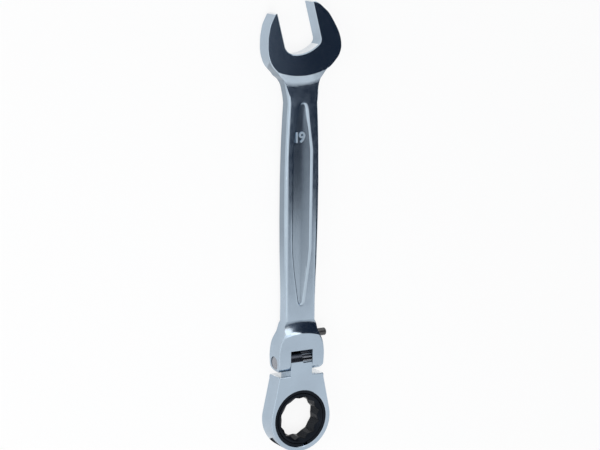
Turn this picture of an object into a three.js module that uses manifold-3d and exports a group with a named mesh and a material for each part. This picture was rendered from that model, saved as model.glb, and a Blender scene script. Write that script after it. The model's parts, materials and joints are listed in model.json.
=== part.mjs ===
// A flex-head combination ratchet wrench for 19 mm nuts, built piece by piece.
// It is modelled lying flat, in millimetres: +X runs along the handle from the ratchet ring to the
// open end, +Y points to the left of the wrench seen from its front, and +Z is up out of its front.
// The ring's centre is at zero while the pieces are made. At the end the whole wrench is moved so
// that the centre of the bottom of its box is the origin.

import * as THREE from "three";
import Module from "manifold-3d";
import { mergeVertices } from "three/addons/utils/BufferGeometryUtils.js";

const wasm = await Module();
wasm.setup();

// The nut that both ends take
const nutFlats = 19;

// Ratchet head
const ringRadius = 16.6;
const headThickness = 10;
const headEdgeBreak = 0.5;
const ringToShoulder = 22.2;
const shoulderWidth = 25.4;
const shoulderCornerRadius = 1.1;
const headBoreRadius = 14.3;
const backLipThickness = 1.1;
const backLipRadius = 12.9;

// Tongue of the head, which turns in the clevis
const tongueWidth = 11.9;
const tongueToothDepth = 0.55;
const tongueTeethPerTurn = 20;
const tongueTeethCut = 11;

// Ratchet gear
const gearTeeth = 72;
const gearToothDepth = 0.6;
const gearRunningGap = 0.2;
const gearNeckGap = 0.3;
const gearEndGap = 0.3;
const gearFaceRecess = 0.2;
const gearBoreClearance = 0.15;
const gearMouthDepth = 2.2;
const gearBoreTurnDegrees = 15;
const gearMouthFlare = 0.5;

// Retaining ring, a split ring in a groove of the head
const snapRingRecess = 0.45;
const snapRingThickness = 0.9;
const snapRingGrooveDepth = 0.7;
const snapRingInnerGap = 0.3;
const snapRingSplit = 2.6;
const snapRingSplitDegrees = -168;
const grooveClearance = 0.1;

// Pawl, its pocket in the head and its spring
const pawlWallDegrees = 20;
const pocketWallDistance = 17.6;
const pocketHeight = 5.4;
const pawlLength = 8;
const pawlTeeth = 6;
const pawlToothGap = 0.3;
const pawlTravel = 0.8;
const pawlStart = 0.1;
const pocketClearance = 0.15;
const pawlSpringLength = 3.9;
const pawlSpringRadius = 1.25;
const pawlSpringWire = 0.4;
const pawlSpringCurls = 3;

// Clevis of the handle
const clevisThickness = 10;
const clevisWidth = 25.6;
const shoulderGap = 1.6;
const slotSideClearance = 0.15;
const slotFloorGap = 1;
const padLength = 14.4;
const padArcRadius = 30;
const hollowRadius = 14.5;

// Pivot pin
const pinRadius = 3.15;
const pinRecess = 0.45;
const pinFitClearance = 0.1;
const pinTurningClearance = 0.15;
const pinEndBreak = 0.3;

// Lock of the head: a toothed plunger held out by a sprung cross rod
const plungerHousing = 6.8;
const plungerRadius = 2.4;
const plungerToothGap = 0.3;
const plungerTravel = 0.8;
const plungerTailRadius = 1.2;
const plungerTipRadius = 0.25;
const lockRunningClearance = 0.15;
const lockSideClearance = 0.3;
const rodRadius = 1.9;
const rodGrooveRadius = 1.5;
const rodGrooveRun = 0.5;
const rodTravel = 2.6;
const rodProud = 2.9;
const rodEndBreak = 0.35;
const rodBoreEndWall = 4.2;
const lockSpringLength = 5;
const lockSpringWire = 0.5;
const lockSpringCurls = 4;

// Shank
const shankLength = 112.2;
const shankWidth = 19.1;
const shankThickness = 6.4;
const shankEdgeHeight = 3.8;
const shankShoulderWidth = 1.6;
const neckBlend = 13;

// Sunk panel on both faces of the shank
const panelLength = 101.2;
const panelWidth = 12.2;
const panelDepth = 0.7;
const panelWallRun = 1.5;
const panelFromNeck = 1.1;

// Open end
const neckLength = 29.2;
const jawRadius = 20.3;
const jawThickness = 8;
const jawSideShift = 1.1;
const jawTiltDegrees = 15;
const jawClearance = 0.5;
const throatBehindCentre = 5.2;
const throatBottomRadius = 18;
const throatLeftCornerRadius = 5.5;
const throatRightCornerRadius = 3;
const jawEdgeBreak = 0.5;
const jawTipBreak = 1.2;
const faceArcRadius = 36;
const faceArcSideShift = 2;
const faceArcReach = 15.9;
const bevelRun = 9.5;
const bevelDrop = 1.6;

// Length by which a cutter passes the surface that it cuts, and the shortest edge that a cut leaves
const overrun = 2;
const shortEdge = 0.002;

// Facets round a full circle, and along curved outlines
const roundFacets = 60;
const wideFacets = 96;
const smallFacets = 32;
const outlineSteps = 26;
const spreadSteps = 12;

// Half widths of the shank from its foot to the narrow neck: place, width
const shankOutlineShares = [
  [0, 0.88], [0.06, 0.89], [0.13, 0.888], [0.22, 0.912], [0.31, 0.954], [0.4, 0.979], [0.49, 0.995],
  [0.58, 1], [0.67, 1], [0.76, 0.985], [0.84, 0.959], [0.92, 0.918], [0.965, 0.887], [1, 0.866],
];
// Half widths of the neck, from the narrow place to the middle of the open end, left and right
const neckLeftShares = [
  [0, 0.407], [0.11, 0.427], [0.209, 0.458], [0.312, 0.493], [0.36, 0.524], [0.408, 0.567], [0.459, 0.657],
  [0.51, 0.713], [0.562, 0.79], [0.61, 0.85], [0.7, 0.895], [1, 0.8],
];
const neckRightShares = [
  [0, 0.413], [0.15, 0.427], [0.25, 0.43], [0.346, 0.44], [0.4, 0.457], [0.449, 0.499], [0.497, 0.549],
  [0.545, 0.608], [0.589, 0.7], [0.65, 0.79], [0.74, 0.86], [1, 0.8],
];
// The rim of the open end about its middle, from the left of the neck round the tips to its right
const jawRimShares = [
  [-0.63, 0.79], [-0.562, 0.854], [-0.488, 0.903], [-0.414, 0.938], [-0.276, 0.982], [-0.133, 1.002],
  [0.005, 1.002], [0.148, 0.997], [0.286, 0.972], [0.424, 0.943], [0.562, 0.879], [0.7, 0.8], [0.793, 0.67],
  [0.892, 0.493], [0.975, 0.246], [1, 0], [0.966, -0.246], [0.921, -0.36], [0.847, -0.463], [0.695, -0.635],
  [0.542, -0.746], [0.399, -0.834], [0.256, -0.913], [0.113, -0.968], [-0.03, -0.997], [-0.172, -0.997],
  [-0.315, -0.948], [-0.384, -0.903], [-0.453, -0.844], [-0.522, -0.78], [-0.591, -0.706], [-0.655, -0.608],
];
// Half widths of the clevis, from the end of the ears to the foot of the hollow
const clevisOutlineShares = [
  [0, 0.83], [0.029, 0.9], [0.081, 0.955], [0.154, 0.985], [0.265, 1], [0.337, 1], [0.43, 0.985],
  [0.521, 0.955], [0.595, 0.91], [0.639, 0.865], [0.683, 0.81], [0.741, 0.745], [0.818, 0.715], [0.885, 0.69],
  [0.94, 0.64], [1, 0.56],
];
// Half widths of the floor of the sunk panel, from its lower tip to its upper tip
const panelOutlineShares = [
  [0, 0.02], [0.006, 0.16], [0.022, 0.27], [0.07, 0.42], [0.15, 0.68], [0.25, 0.92], [0.34, 1],
  [0.7, 1], [0.79, 0.93], [0.88, 0.7], [0.95, 0.46], [0.985, 0.32], [0.997, 0.18], [1, 0.02],
];
// The part of the tongue's width that carries the lock teeth, and half the mouth and the root of each groove
// between them as shares of the teeth's spacing
const toothedWidthShare = 0.43;
const tongueMouthShare = 0.33;
const tongueRootShare = 0.085;
// Half the crest of a tooth on the plunger's nose and where its groove is deepest, shares of the same spacing
const noseCrestShare = 0.125;
const noseGrooveShare = 0.33;
// How far above the pads the hollow's curve starts, and the gear teeth's flat tips and roots
const hollowStartShare = 1.2;
const gearToothTipShare = 0.28;
const gearToothRootShare = 0.24;

// Places along the wrench, worked out from the sizes
const clevisHalf = clevisThickness / 2;
const headHalf = headThickness / 2;
const pivotX = ringToShoulder + shoulderGap + clevisHalf;
const earEndX = pivotX - clevisHalf;
const slotWidth = tongueWidth + 2 * slotSideClearance;
const slotFloorX = pivotX + headHalf + slotFloorGap;
const padEndX = pivotX + padLength;
const hollowDrop = (clevisThickness - shankThickness) / 2;
const hollowRun = Math.sqrt(2 * hollowRadius * hollowDrop - hollowDrop * hollowDrop);
const shankFootX = padEndX + hollowDrop / 2;
const neckX = shankFootX + shankLength;
const jawX = neckX + neckLength;
const jawTilt = THREE.MathUtils.degToRad(jawTiltDegrees);
const rodX = slotFloorX + plungerHousing;
const plungerY = -tongueWidth / 4;
const gearRadius = headBoreRadius - gearRunningGap;
const snapRingTop = headHalf - snapRingRecess;
const snapRingBottom = snapRingTop - snapRingThickness;
const pawlWallAngle = THREE.MathUtils.degToRad(pawlWallDegrees);

// A closed three.js geometry as a solid that can be joined and cut
function toSolid(geometry) {
  const plain = geometry.clone();
  plain.deleteAttribute("normal");
  plain.deleteAttribute("uv");
  const merged = mergeVertices(plain);
  return new wasm.Manifold(new wasm.Mesh({
    numProp: 3,
    vertProperties: Float32Array.from(merged.attributes.position.array),
    triVerts: Uint32Array.from(merged.index.array),
  }));
}

// A cut solid as a geometry, with the ends of each edge too short to matter drawn together
function toGeometry(solid) {
  const mesh = solid.getMesh();
  const places = mesh.vertProperties;
  const leader = Array.from({ length: places.length / 3 }, (_, place) => place);
  const find = (place) => (leader[place] === place ? place : find(leader[place]));
  for (let edge = 0; edge < mesh.triVerts.length; edge += 1) {
    const from = mesh.triVerts[edge];
    const to = mesh.triVerts[edge % 3 === 2 ? edge - 2 : edge + 1];
    const steps = [0, 1, 2].map((axis) => places[3 * from + axis] - places[3 * to + axis]);
    if (Math.hypot(...steps) < shortEdge) leader[find(from)] = find(to);
  }
  const indices = [];
  for (let corner = 0; corner < mesh.triVerts.length; corner += 3) {
    const [a, b, c] = [0, 1, 2].map((next) => find(mesh.triVerts[corner + next]));
    if (a !== b && b !== c && c !== a) indices.push(a, b, c);
  }
  const geometry = new THREE.BufferGeometry();
  geometry.setAttribute("position", new THREE.BufferAttribute(places, 3));
  geometry.setIndex(indices);
  geometry.computeVertexNormals();
  return geometry;
}

function joined(solids) {
  return solids.reduce((sum, solid) => sum.add(solid));
}

// A round bar along X, Y or Z, with its start and end given on that axis
function roundBar(axis, start, end, startRadius, endRadius, facets) {
  const length = end - start;
  const bar = new THREE.CylinderGeometry(endRadius, startRadius, length, facets);
  bar.translate(0, start + length / 2, 0);
  if (axis === "x") bar.rotateZ(-Math.PI / 2);
  if (axis === "z") bar.rotateX(Math.PI / 2);
  return bar;
}

// A block given by its least and greatest corners
function block(low, high) {
  const box = new THREE.BoxGeometry(high[0] - low[0], high[1] - low[1], high[2] - low[2]);
  box.translate((low[0] + high[0]) / 2, (low[1] + high[1]) / 2, (low[2] + high[2]) / 2);
  return box;
}

// A plan outline raised to a plate centred on z = 0, with broken or rounded edges inside its thickness
function plate(shape, thickness, edgeHeight, edgeRun, edgeSteps) {
  const edge = (thickness - edgeHeight) / 2;
  const body = new THREE.ExtrudeGeometry(shape, {
    depth: edgeHeight,
    curveSegments: outlineSteps,
    bevelEnabled: edge > 0,
    bevelThickness: edge,
    bevelSize: edgeRun,
    bevelOffset: -edgeRun,
    bevelSegments: edgeSteps,
  });
  body.translate(0, 0, -edgeHeight / 2);
  return body;
}

// Points of a smooth line through a table of shares, with x from start over length and y over width
function spread(shares, start, length, halfWidth, steps) {
  const knots = shares.map(([along, across]) => new THREE.Vector2(start + along * length, across * halfWidth));
  return new THREE.SplineCurve(knots).getPoints(steps);
}

// The closed outline between a left line and the mirror image of a right line
function outlineBetween(leftPoints, rightPoints) {
  const mirrored = rightPoints.map((point) => new THREE.Vector2(point.x, -point.y));
  return new THREE.Shape([...mirrored, ...leftPoints.reverse()]);
}

function lathe(profile, facets) {
  const turned = new THREE.LatheGeometry(profile.map(([radius, height]) => new THREE.Vector2(radius, height)), facets);
  turned.rotateX(Math.PI / 2);
  return turned;
}

// A round wire wound into an open coil along +Z from z = 0, with both ends straight and square
function coil(radius, wire, length, curls) {
  const stepsPerCurl = 8;
  const sides = 5;
  const wound = length - 2 * wire;
  const line = [new THREE.Vector3(radius, 0, 0)];
  for (let step = 0; step <= curls * stepsPerCurl; step += 1) {
    const angle = (step / stepsPerCurl) * 2 * Math.PI;
    const height = wire + (step / (curls * stepsPerCurl)) * wound;
    line.push(new THREE.Vector3(radius * Math.cos(angle), radius * Math.sin(angle), height));
  }
  const last = line[line.length - 1];
  line.push(new THREE.Vector3(last.x, last.y, length));

  const positions = [];
  const indices = [];
  line.forEach((point, place) => {
    const before = line[Math.max(place - 1, 0)];
    const after = line[Math.min(place + 1, line.length - 1)];
    const along = after.clone().sub(before).normalize();
    const outward = new THREE.Vector3(point.x, point.y, 0).normalize();
    const side = outward.clone().addScaledVector(along, -outward.dot(along)).normalize();
    const other = along.clone().cross(side);
    for (let corner = 0; corner < sides; corner += 1) {
      const turn = (corner / sides) * 2 * Math.PI;
      const spot = point.clone();
      spot.addScaledVector(side, (Math.cos(turn) * wire) / 2);
      spot.addScaledVector(other, (Math.sin(turn) * wire) / 2);
      positions.push(spot.x, spot.y, spot.z);
    }
  });
  for (let ring = 0; ring < line.length - 1; ring += 1) {
    for (let corner = 0; corner < sides; corner += 1) {
      const next = (corner + 1) % sides;
      const low = ring * sides;
      const high = low + sides;
      indices.push(low + corner, low + next, high + next, low + corner, high + next, high + corner);
    }
  }
  const top = (line.length - 1) * sides;
  for (let corner = 1; corner < sides - 1; corner += 1) {
    indices.push(0, corner + 1, corner);
    indices.push(top, top + corner, top + corner + 1);
  }
  const geometry = new THREE.BufferGeometry();
  geometry.setAttribute("position", new THREE.Float32BufferAttribute(positions, 3));
  geometry.setIndex(indices);
  geometry.computeVertexNormals();

  let least = Infinity;
  line.forEach((point, place) => {
    line.slice(place + stepsPerCurl / 2 + 1).forEach((other) => {
      least = Math.min(least, point.distanceTo(other) - wire);
    });
  });
  console.log(`coil of ${curls} curls: least gap to itself ${least.toFixed(2)} mm`);
  return geometry;
}

// Materials, one for each finish
function steel(colour, roughness, metalness) {
  return new THREE.MeshStandardMaterial({ color: colour, roughness, metalness });
}
const satinChrome = () => steel(0xb9c6d2, 0.34, 1);
const blackPhosphate = () => steel(0x1a1c22, 0.5, 0.6);
const pinSteel = () => steel(0x9c9da3, 0.4, 1);
const bronzedSteel = () => steel(0x5a4a40, 0.45, 0.9);
const toolSteel = () => steel(0x83878c, 0.45, 1);
const springSteel = () => steel(0x777b80, 0.35, 1);

function named(name, geometry, material) {
  const mesh = new THREE.Mesh(geometry, material);
  mesh.name = name;
  return mesh;
}

// Shank with its rounded shoulders, from inside the clevis to inside the open end
function shank() {
  const left = spread(shankOutlineShares, shankFootX, shankLength, shankWidth / 2, outlineSteps);
  const right = left.map((point) => point.clone());
  left.push(...spread(neckLeftShares, neckX, neckLength, jawRadius, spreadSteps).slice(1));
  right.push(...spread(neckRightShares, neckX, neckLength, jawRadius, spreadSteps).slice(1));
  const body = plate(outlineBetween(left, right), shankThickness, shankEdgeHeight, shankShoulderWidth, 3);
  return toSolid(body);
}

// The clevis block: rounded about the pivot, flat on its pads, hollowed towards the shank
function clevisBlock() {
  const length = padEndX + hollowRun - earEndX;
  const left = spread(clevisOutlineShares, earEndX, length, clevisWidth / 2, outlineSteps);
  const right = left.map((point) => point.clone());
  const planHeight = clevisThickness + overrun;
  const plan = toSolid(plate(outlineBetween(left, right), planHeight, planHeight, 0, 1));

  const side = new THREE.Shape();
  side.moveTo(pivotX, -clevisHalf);
  side.lineTo(padEndX + hollowRun + overrun, -clevisHalf);
  side.lineTo(padEndX + hollowRun + overrun, clevisHalf);
  side.lineTo(pivotX, clevisHalf);
  side.absarc(pivotX, 0, clevisHalf, Math.PI / 2, (3 * Math.PI) / 2, false);
  const sideBody = plate(side, clevisWidth + overrun, clevisWidth + overrun, 0, 1);
  sideBody.rotateX(Math.PI / 2);

  const hollow = [];
  const steps = 6;
  for (let step = 0; step <= steps; step += 1) {
    const left = (1 - step / steps) * hollowRun * hollowStartShare;
    const rise = hollowRadius - Math.sqrt(hollowRadius ** 2 - left ** 2);
    hollow.push([padArcRadius + hollowRun - left, shankThickness / 2 + rise]);
  }
  const highest = hollow[0][1];
  const profile = [[0, -highest]];
  hollow.forEach(([radius, height]) => profile.push([radius, -height]));
  hollow.reverse().forEach(([radius, height]) => profile.push([radius, height]));
  profile.push([0, highest]);
  const turned = lathe(profile, wideFacets);
  turned.translate(padEndX - padArcRadius, 0, 0);
  return plan.intersect(toSolid(sideBody)).intersect(toSolid(turned));
}

// A rounded corner between a flat of the throat and its hollow bottom: where it is and where it ends
function throatCorner(wanted, half, middle) {
  const radius = Math.min(wanted, half);
  const across = half - radius;
  const back = Math.sqrt((throatBottomRadius - radius) ** 2 - across ** 2);
  return { radius, across, place: middle - back, angle: Math.atan2(across, -back) };
}

// The throat of the open end as a cutter, seen along the jaw's own axis, grown or not at its rim
function throat(flats, thickness, edgeHeight, edgeRun) {
  const half = flats / 2;
  const middle = throatBottomRadius - throatBehindCentre;
  const left = throatCorner(throatLeftCornerRadius, half, middle);
  const right = throatCorner(throatRightCornerRadius, half, middle);
  const reach = jawRadius + overrun;
  const shape = new THREE.Shape();
  shape.moveTo(reach, half);
  shape.lineTo(left.place, half);
  shape.absarc(left.place, left.across, left.radius, Math.PI / 2, left.angle, false);
  shape.absarc(middle, 0, throatBottomRadius, left.angle, 2 * Math.PI - right.angle, false);
  shape.absarc(right.place, -right.across, right.radius, 2 * Math.PI - right.angle, (3 * Math.PI) / 2, false);
  shape.lineTo(reach, -half);
  const edge = (thickness - edgeHeight) / 2;
  const body = new THREE.ExtrudeGeometry(shape, {
    depth: edgeHeight,
    curveSegments: 8,
    bevelEnabled: edge > 0,
    bevelThickness: edge,
    bevelSize: edgeRun,
    bevelSegments: 1,
  });
  body.translate(0, 0, -edgeHeight / 2);
  return body;
}

function placeAtJaw(geometry) {
  geometry.rotateZ(jawTilt);
  geometry.translate(jawX, jawSideShift, 0);
  return toSolid(geometry);
}

// A side line of the neck that starts inside the shank's rounded shoulder and reaches the rim further on
function drawnIn(line) {
  return line.map((point) => {
    const share = Math.max(0, 1 - (point.x - neckX) / neckBlend);
    return new THREE.Vector2(point.x, point.y - shankShoulderWidth * share);
  });
}

// The open end: a plate with its neck, thinned by a bevel towards the shank, and its throat
function openEnd() {
  const rim = spread(jawRimShares, jawX, jawRadius, jawRadius, 2 * jawRimShares.length);
  const flatHeight = jawThickness - 2 * jawEdgeBreak;
  const round = plate(new THREE.Shape(rim), jawThickness, flatHeight, jawEdgeBreak, 1);
  const left = drawnIn(spread(neckLeftShares, neckX, neckLength, jawRadius, spreadSteps));
  const right = drawnIn(spread(neckRightShares, neckX, neckLength, jawRadius, spreadSteps));
  const neck = plate(outlineBetween(left, right), jawThickness, flatHeight, jawEdgeBreak, 1);
  const blank = toSolid(round).add(toSolid(neck));

  const rimHeight = jawThickness / 2 - bevelDrop;
  const outer = faceArcRadius + bevelRun;
  const bevelled = lathe([
    [0, -jawThickness / 2], [faceArcRadius, -jawThickness / 2], [outer, -rimHeight], [outer, rimHeight],
    [faceArcRadius, jawThickness / 2], [0, jawThickness / 2],
  ], wideFacets);
  bevelled.translate(jawX - faceArcReach + faceArcRadius, faceArcSideShift, 0);
  return blank.intersect(toSolid(bevelled));
}

function throatCuts() {
  const flats = nutFlats + jawClearance;
  const through = throat(flats, jawThickness + 2 * overrun, jawThickness + 2 * overrun, 0);
  const cuts = [placeAtJaw(through)];
  for (const side of [-1, 1]) {
    const rim = throat(flats, 2 * jawEdgeBreak + overrun, overrun, jawEdgeBreak);
    rim.translate(0, 0, side * (jawThickness / 2 + overrun / 2));
    cuts.push(placeAtJaw(rim));
  }
  const tipReach = Math.sqrt(jawRadius ** 2 - (flats / 2) ** 2) - jawTipBreak / 2;
  const tips = block([tipReach, -jawRadius, -jawThickness], [jawRadius + overrun, jawRadius, jawThickness]);
  cuts.push(placeAtJaw(tips));
  return joined(cuts);
}

// The sunk panels on both faces, with sloped walls
function panelCuts() {
  const start = neckX + panelFromNeck - panelLength + panelWallRun;
  const length = panelLength - 2 * panelWallRun;
  const halfWidth = panelWidth / 2 - panelWallRun;
  const side = spread(panelOutlineShares, start, length, halfWidth, 2 * outlineSteps);
  const outline = outlineBetween(side.map((point) => point.clone()), side.map((point) => point.clone()));
  const cuts = [];
  for (const face of [-1, 1]) {
    const body = new THREE.ExtrudeGeometry(outline, {
      depth: panelDepth,
      bevelEnabled: true,
      bevelThickness: panelDepth,
      bevelSize: panelWallRun,
      bevelSegments: 1,
    });
    body.translate(0, 0, -panelDepth / 2);
    body.translate(0, 0, face * (shankThickness / 2 + panelDepth / 2));
    cuts.push(toSolid(body));
  }
  return joined(cuts);
}

// The slot, the pin's bore and the two bores of the lock
function clevisCuts() {
  const slot = block(
    [earEndX - overrun, -slotWidth / 2, -clevisThickness],
    [slotFloorX, slotWidth / 2, clevisThickness],
  );
  const halfWidth = clevisWidth / 2;
  const pinBoreRadius = pinRadius + pinFitClearance;
  const pinBore = roundBar("y", -halfWidth - overrun, halfWidth + overrun, pinBoreRadius, pinBoreRadius, smallFacets);
  pinBore.translate(pivotX, 0, 0);

  const plungerBoreRadius = plungerRadius + lockRunningClearance;
  const plungerBoreEnd = plungerBodyEnd() + plungerTravel + lockSideClearance;
  const plungerBore = roundBar("x", pivotX, plungerBoreEnd, plungerBoreRadius, plungerBoreRadius, smallFacets);
  plungerBore.translate(0, plungerY, 0);
  const tailBoreRadius = plungerTailRadius + lockRunningClearance;
  const tailBore = roundBar("x", pivotX, rodX, tailBoreRadius, tailBoreRadius, smallFacets);
  tailBore.translate(0, plungerY, 0);

  const rodBoreRadius = rodRadius + lockRunningClearance;
  const rodBore = roundBar("y", -halfWidth - overrun, rodBoreEndY(), rodBoreRadius, rodBoreRadius, smallFacets);
  rodBore.translate(rodX, 0, 0);
  return joined([slot, pinBore, plungerBore, tailBore, rodBore].map(toSolid));
}

function plungerBodyEnd() {
  return rodX - rodRadius - plungerTravel - lockSideClearance;
}

function rodBoreEndY() {
  return clevisWidth / 2 - rodBoreEndWall;
}

function handle() {
  const body = joined([shank(), clevisBlock(), openEnd()]);
  const cut = body.subtract(panelCuts()).subtract(throatCuts()).subtract(clevisCuts());
  return named("wrench_handle", toGeometry(cut), satinChrome());
}

// Plan of the head: the ring with straight flanks up to the shoulder beside the tongue
function headOutline() {
  const half = shoulderWidth / 2;
  const flankX = ringToShoulder - 2 * shoulderCornerRadius;
  const distance = Math.hypot(flankX, half);
  const angle = Math.atan2(half, flankX) + Math.acos(ringRadius / distance);
  const shape = new THREE.Shape();
  shape.absarc(0, 0, ringRadius, angle, 2 * Math.PI - angle, false);
  shape.lineTo(flankX, -half);
  shape.lineTo(ringToShoulder - shoulderCornerRadius, -half);
  shape.quadraticCurveTo(ringToShoulder, -half, ringToShoulder, shoulderCornerRadius - half);
  shape.lineTo(ringToShoulder, half - shoulderCornerRadius);
  shape.quadraticCurveTo(ringToShoulder, half, ringToShoulder - shoulderCornerRadius, half);
  shape.lineTo(flankX, half);
  return shape;
}

// Tongue: as thick as the head, rounded about the pivot, with lock teeth across part of its width
function tongue() {
  const side = new THREE.Shape();
  side.moveTo(ringToShoulder - overrun, -headHalf);
  side.lineTo(pivotX, -headHalf);
  side.absarc(pivotX, 0, headHalf, -Math.PI / 2, Math.PI / 2, false);
  side.lineTo(ringToShoulder - overrun, headHalf);
  const body = new THREE.ExtrudeGeometry(side, { depth: tongueWidth, curveSegments: outlineSteps, bevelEnabled: false });
  body.rotateX(Math.PI / 2);
  body.translate(0, tongueWidth / 2, 0);
  return toSolid(body);
}

function tongueToothCuts() {
  const pitch = (2 * Math.PI) / tongueTeethPerTurn;
  const width = tongueWidth * toothedWidthShare;
  const halfMouth = headHalf * pitch * tongueMouthShare;
  const halfRoot = headHalf * pitch * tongueRootShare;
  const cuts = [];
  for (let count = 0; count < tongueTeethCut; count += 1) {
    const groove = new THREE.Shape();
    groove.moveTo(headHalf - tongueToothDepth, halfRoot);
    groove.lineTo(headHalf - tongueToothDepth, -halfRoot);
    groove.lineTo(headHalf + tongueToothDepth, -halfMouth * 2);
    groove.lineTo(headHalf + tongueToothDepth, halfMouth * 2);
    const cut = new THREE.ExtrudeGeometry(groove, { depth: width + overrun, bevelEnabled: false });
    cut.rotateZ((count - (tongueTeethCut - 1) / 2) * pitch);
    cut.rotateX(Math.PI / 2);
    cut.translate(pivotX, width - tongueWidth / 2, 0);
    cuts.push(toSolid(cut));
  }
  return joined(cuts);
}

// The pawl's frame is turned about the ring's centre so that its wall runs along +Y there
function placeAtPawl(geometry) {
  geometry.rotateZ(-pawlWallAngle);
  return geometry;
}

function pocketCuts() {
  const pocketEnd = pawlStart + pawlLength + pawlTravel + pocketClearance;
  const pocket = block(
    [headBoreRadius / 2, pawlStart - pocketClearance, -pocketHeight / 2],
    [pocketWallDistance, pocketEnd, pocketHeight / 2],
  );
  const chamberRadius = pawlSpringRadius + pawlSpringWire / 2 + pocketClearance;
  const chamber = roundBar("y", pocketEnd - overrun, springSeat(), chamberRadius, chamberRadius, smallFacets);
  chamber.translate(pawlSpringX(), 0, 0);
  return toSolid(placeAtPawl(pocket)).add(toSolid(placeAtPawl(chamber)));
}

function springSeat() {
  return pawlStart + pawlLength + pawlSpringLength + 2 * pocketClearance;
}

function pawlSpringX() {
  return pocketWallDistance - pocketClearance - pawlSpringRadius - pawlSpringWire;
}

function head() {
  const blank = plate(headOutline(), headThickness, headThickness - 2 * headEdgeBreak, headEdgeBreak, 2);
  const bore = roundBar("z", backLipThickness - headHalf, headHalf + overrun, headBoreRadius, headBoreRadius, roundFacets);
  const lip = roundBar("z", -headHalf - overrun, headHalf, backLipRadius, backLipRadius, roundFacets);
  const grooveRadius = headBoreRadius + snapRingGrooveDepth;
  const groove = roundBar(
    "z", snapRingBottom - grooveClearance, snapRingTop + grooveClearance, grooveRadius, grooveRadius, roundFacets,
  );
  const pinBoreRadius = pinRadius + pinTurningClearance;
  const pinBore = roundBar("y", -tongueWidth, tongueWidth, pinBoreRadius, pinBoreRadius, smallFacets);
  pinBore.translate(pivotX, 0, 0);
  const body = toSolid(blank).add(tongue()).subtract(tongueToothCuts());
  const cuts = joined([toSolid(bore), toSolid(lip), toSolid(groove), toSolid(pinBore), pocketCuts()]);
  return named("ratchet_head", toGeometry(body.subtract(cuts)), satinChrome());
}

// A toothed disc outline: each tooth has a flat tip and a flat root
function toothedOutline(tipRadius, rootRadius, teeth) {
  const pitch = (2 * Math.PI) / teeth;
  const points = [];
  for (let tooth = 0; tooth < teeth; tooth += 1) {
    const middle = tooth * pitch;
    const tip = (pitch * gearToothTipShare) / 2;
    const root = pitch / 2 - (pitch * gearToothRootShare) / 2;
    for (const [angle, radius] of [[-root, rootRadius], [-tip, tipRadius], [tip, tipRadius], [root, rootRadius]]) {
      points.push(new THREE.Vector2(radius * Math.cos(middle + angle), radius * Math.sin(middle + angle)));
    }
  }
  return new THREE.Shape(points);
}

// The twelve-point bore is the union of two hexagons
function twelvePoint(flats) {
  const outer = flats / 2 / Math.cos(Math.PI / 6);
  const inner = flats / 2 / Math.cos(Math.PI / 12);
  const points = [];
  for (let corner = 0; corner < 24; corner += 1) {
    const radius = corner % 2 === 0 ? outer : inner;
    const angle = (corner * Math.PI) / 12;
    points.push(new THREE.Vector2(radius * Math.cos(angle), radius * Math.sin(angle)));
  }
  return new THREE.Shape(points);
}

function gear() {
  const top = snapRingBottom - gearEndGap;
  const bottom = backLipThickness - headHalf + pocketClearance;
  const faceHalf = headHalf - gearFaceRecess;
  const neckRadius = backLipRadius - gearNeckGap;
  const toothed = new THREE.ExtrudeGeometry(
    toothedOutline(gearRadius, gearRadius - gearToothDepth, gearTeeth),
    { depth: top - bottom, bevelEnabled: false },
  );
  toothed.translate(0, 0, bottom);
  const neck = roundBar("z", -faceHalf, faceHalf, neckRadius, neckRadius, roundFacets);
  const flats = nutFlats + gearBoreClearance;
  const bore = new THREE.ExtrudeGeometry(twelvePoint(flats), { depth: 2 * headThickness, bevelEnabled: false });
  bore.rotateZ(THREE.MathUtils.degToRad(gearBoreTurnDegrees));
  bore.translate(0, 0, -headThickness);
  const corner = flats / 2 / Math.cos(Math.PI / 6) + gearMouthFlare;
  const throatRadius = flats / 2 - gearMouthFlare;
  const slope = (corner - throatRadius) / gearMouthDepth;
  const wide = corner + slope * overrun;
  const mouthTop = roundBar("z", faceHalf - gearMouthDepth, faceHalf + overrun, throatRadius, wide, roundFacets);
  const mouthBottom = roundBar("z", -faceHalf - overrun, gearMouthDepth - faceHalf, wide, throatRadius, roundFacets);
  const cuts = joined([toSolid(bore), toSolid(mouthTop), toSolid(mouthBottom)]);
  const body = toSolid(toothed).add(toSolid(neck)).subtract(cuts);
  return named("ratchet_gear", toGeometry(body), blackPhosphate());
}

function retainingRing() {
  const outer = headBoreRadius + snapRingGrooveDepth - grooveClearance;
  const inner = backLipRadius - gearNeckGap + snapRingInnerGap;
  const half = snapRingSplit / 2 / headBoreRadius;
  const shape = new THREE.Shape();
  shape.absarc(0, 0, outer, half, 2 * Math.PI - half, false);
  shape.absarc(0, 0, inner, 2 * Math.PI - half, half, true);
  const body = new THREE.ExtrudeGeometry(shape, {
    depth: snapRingThickness, curveSegments: roundFacets / 2, bevelEnabled: false,
  });
  body.rotateZ(THREE.MathUtils.degToRad(snapRingSplitDegrees));
  body.translate(0, 0, snapRingBottom);
  return named("retaining_ring", body, blackPhosphate());
}

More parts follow.
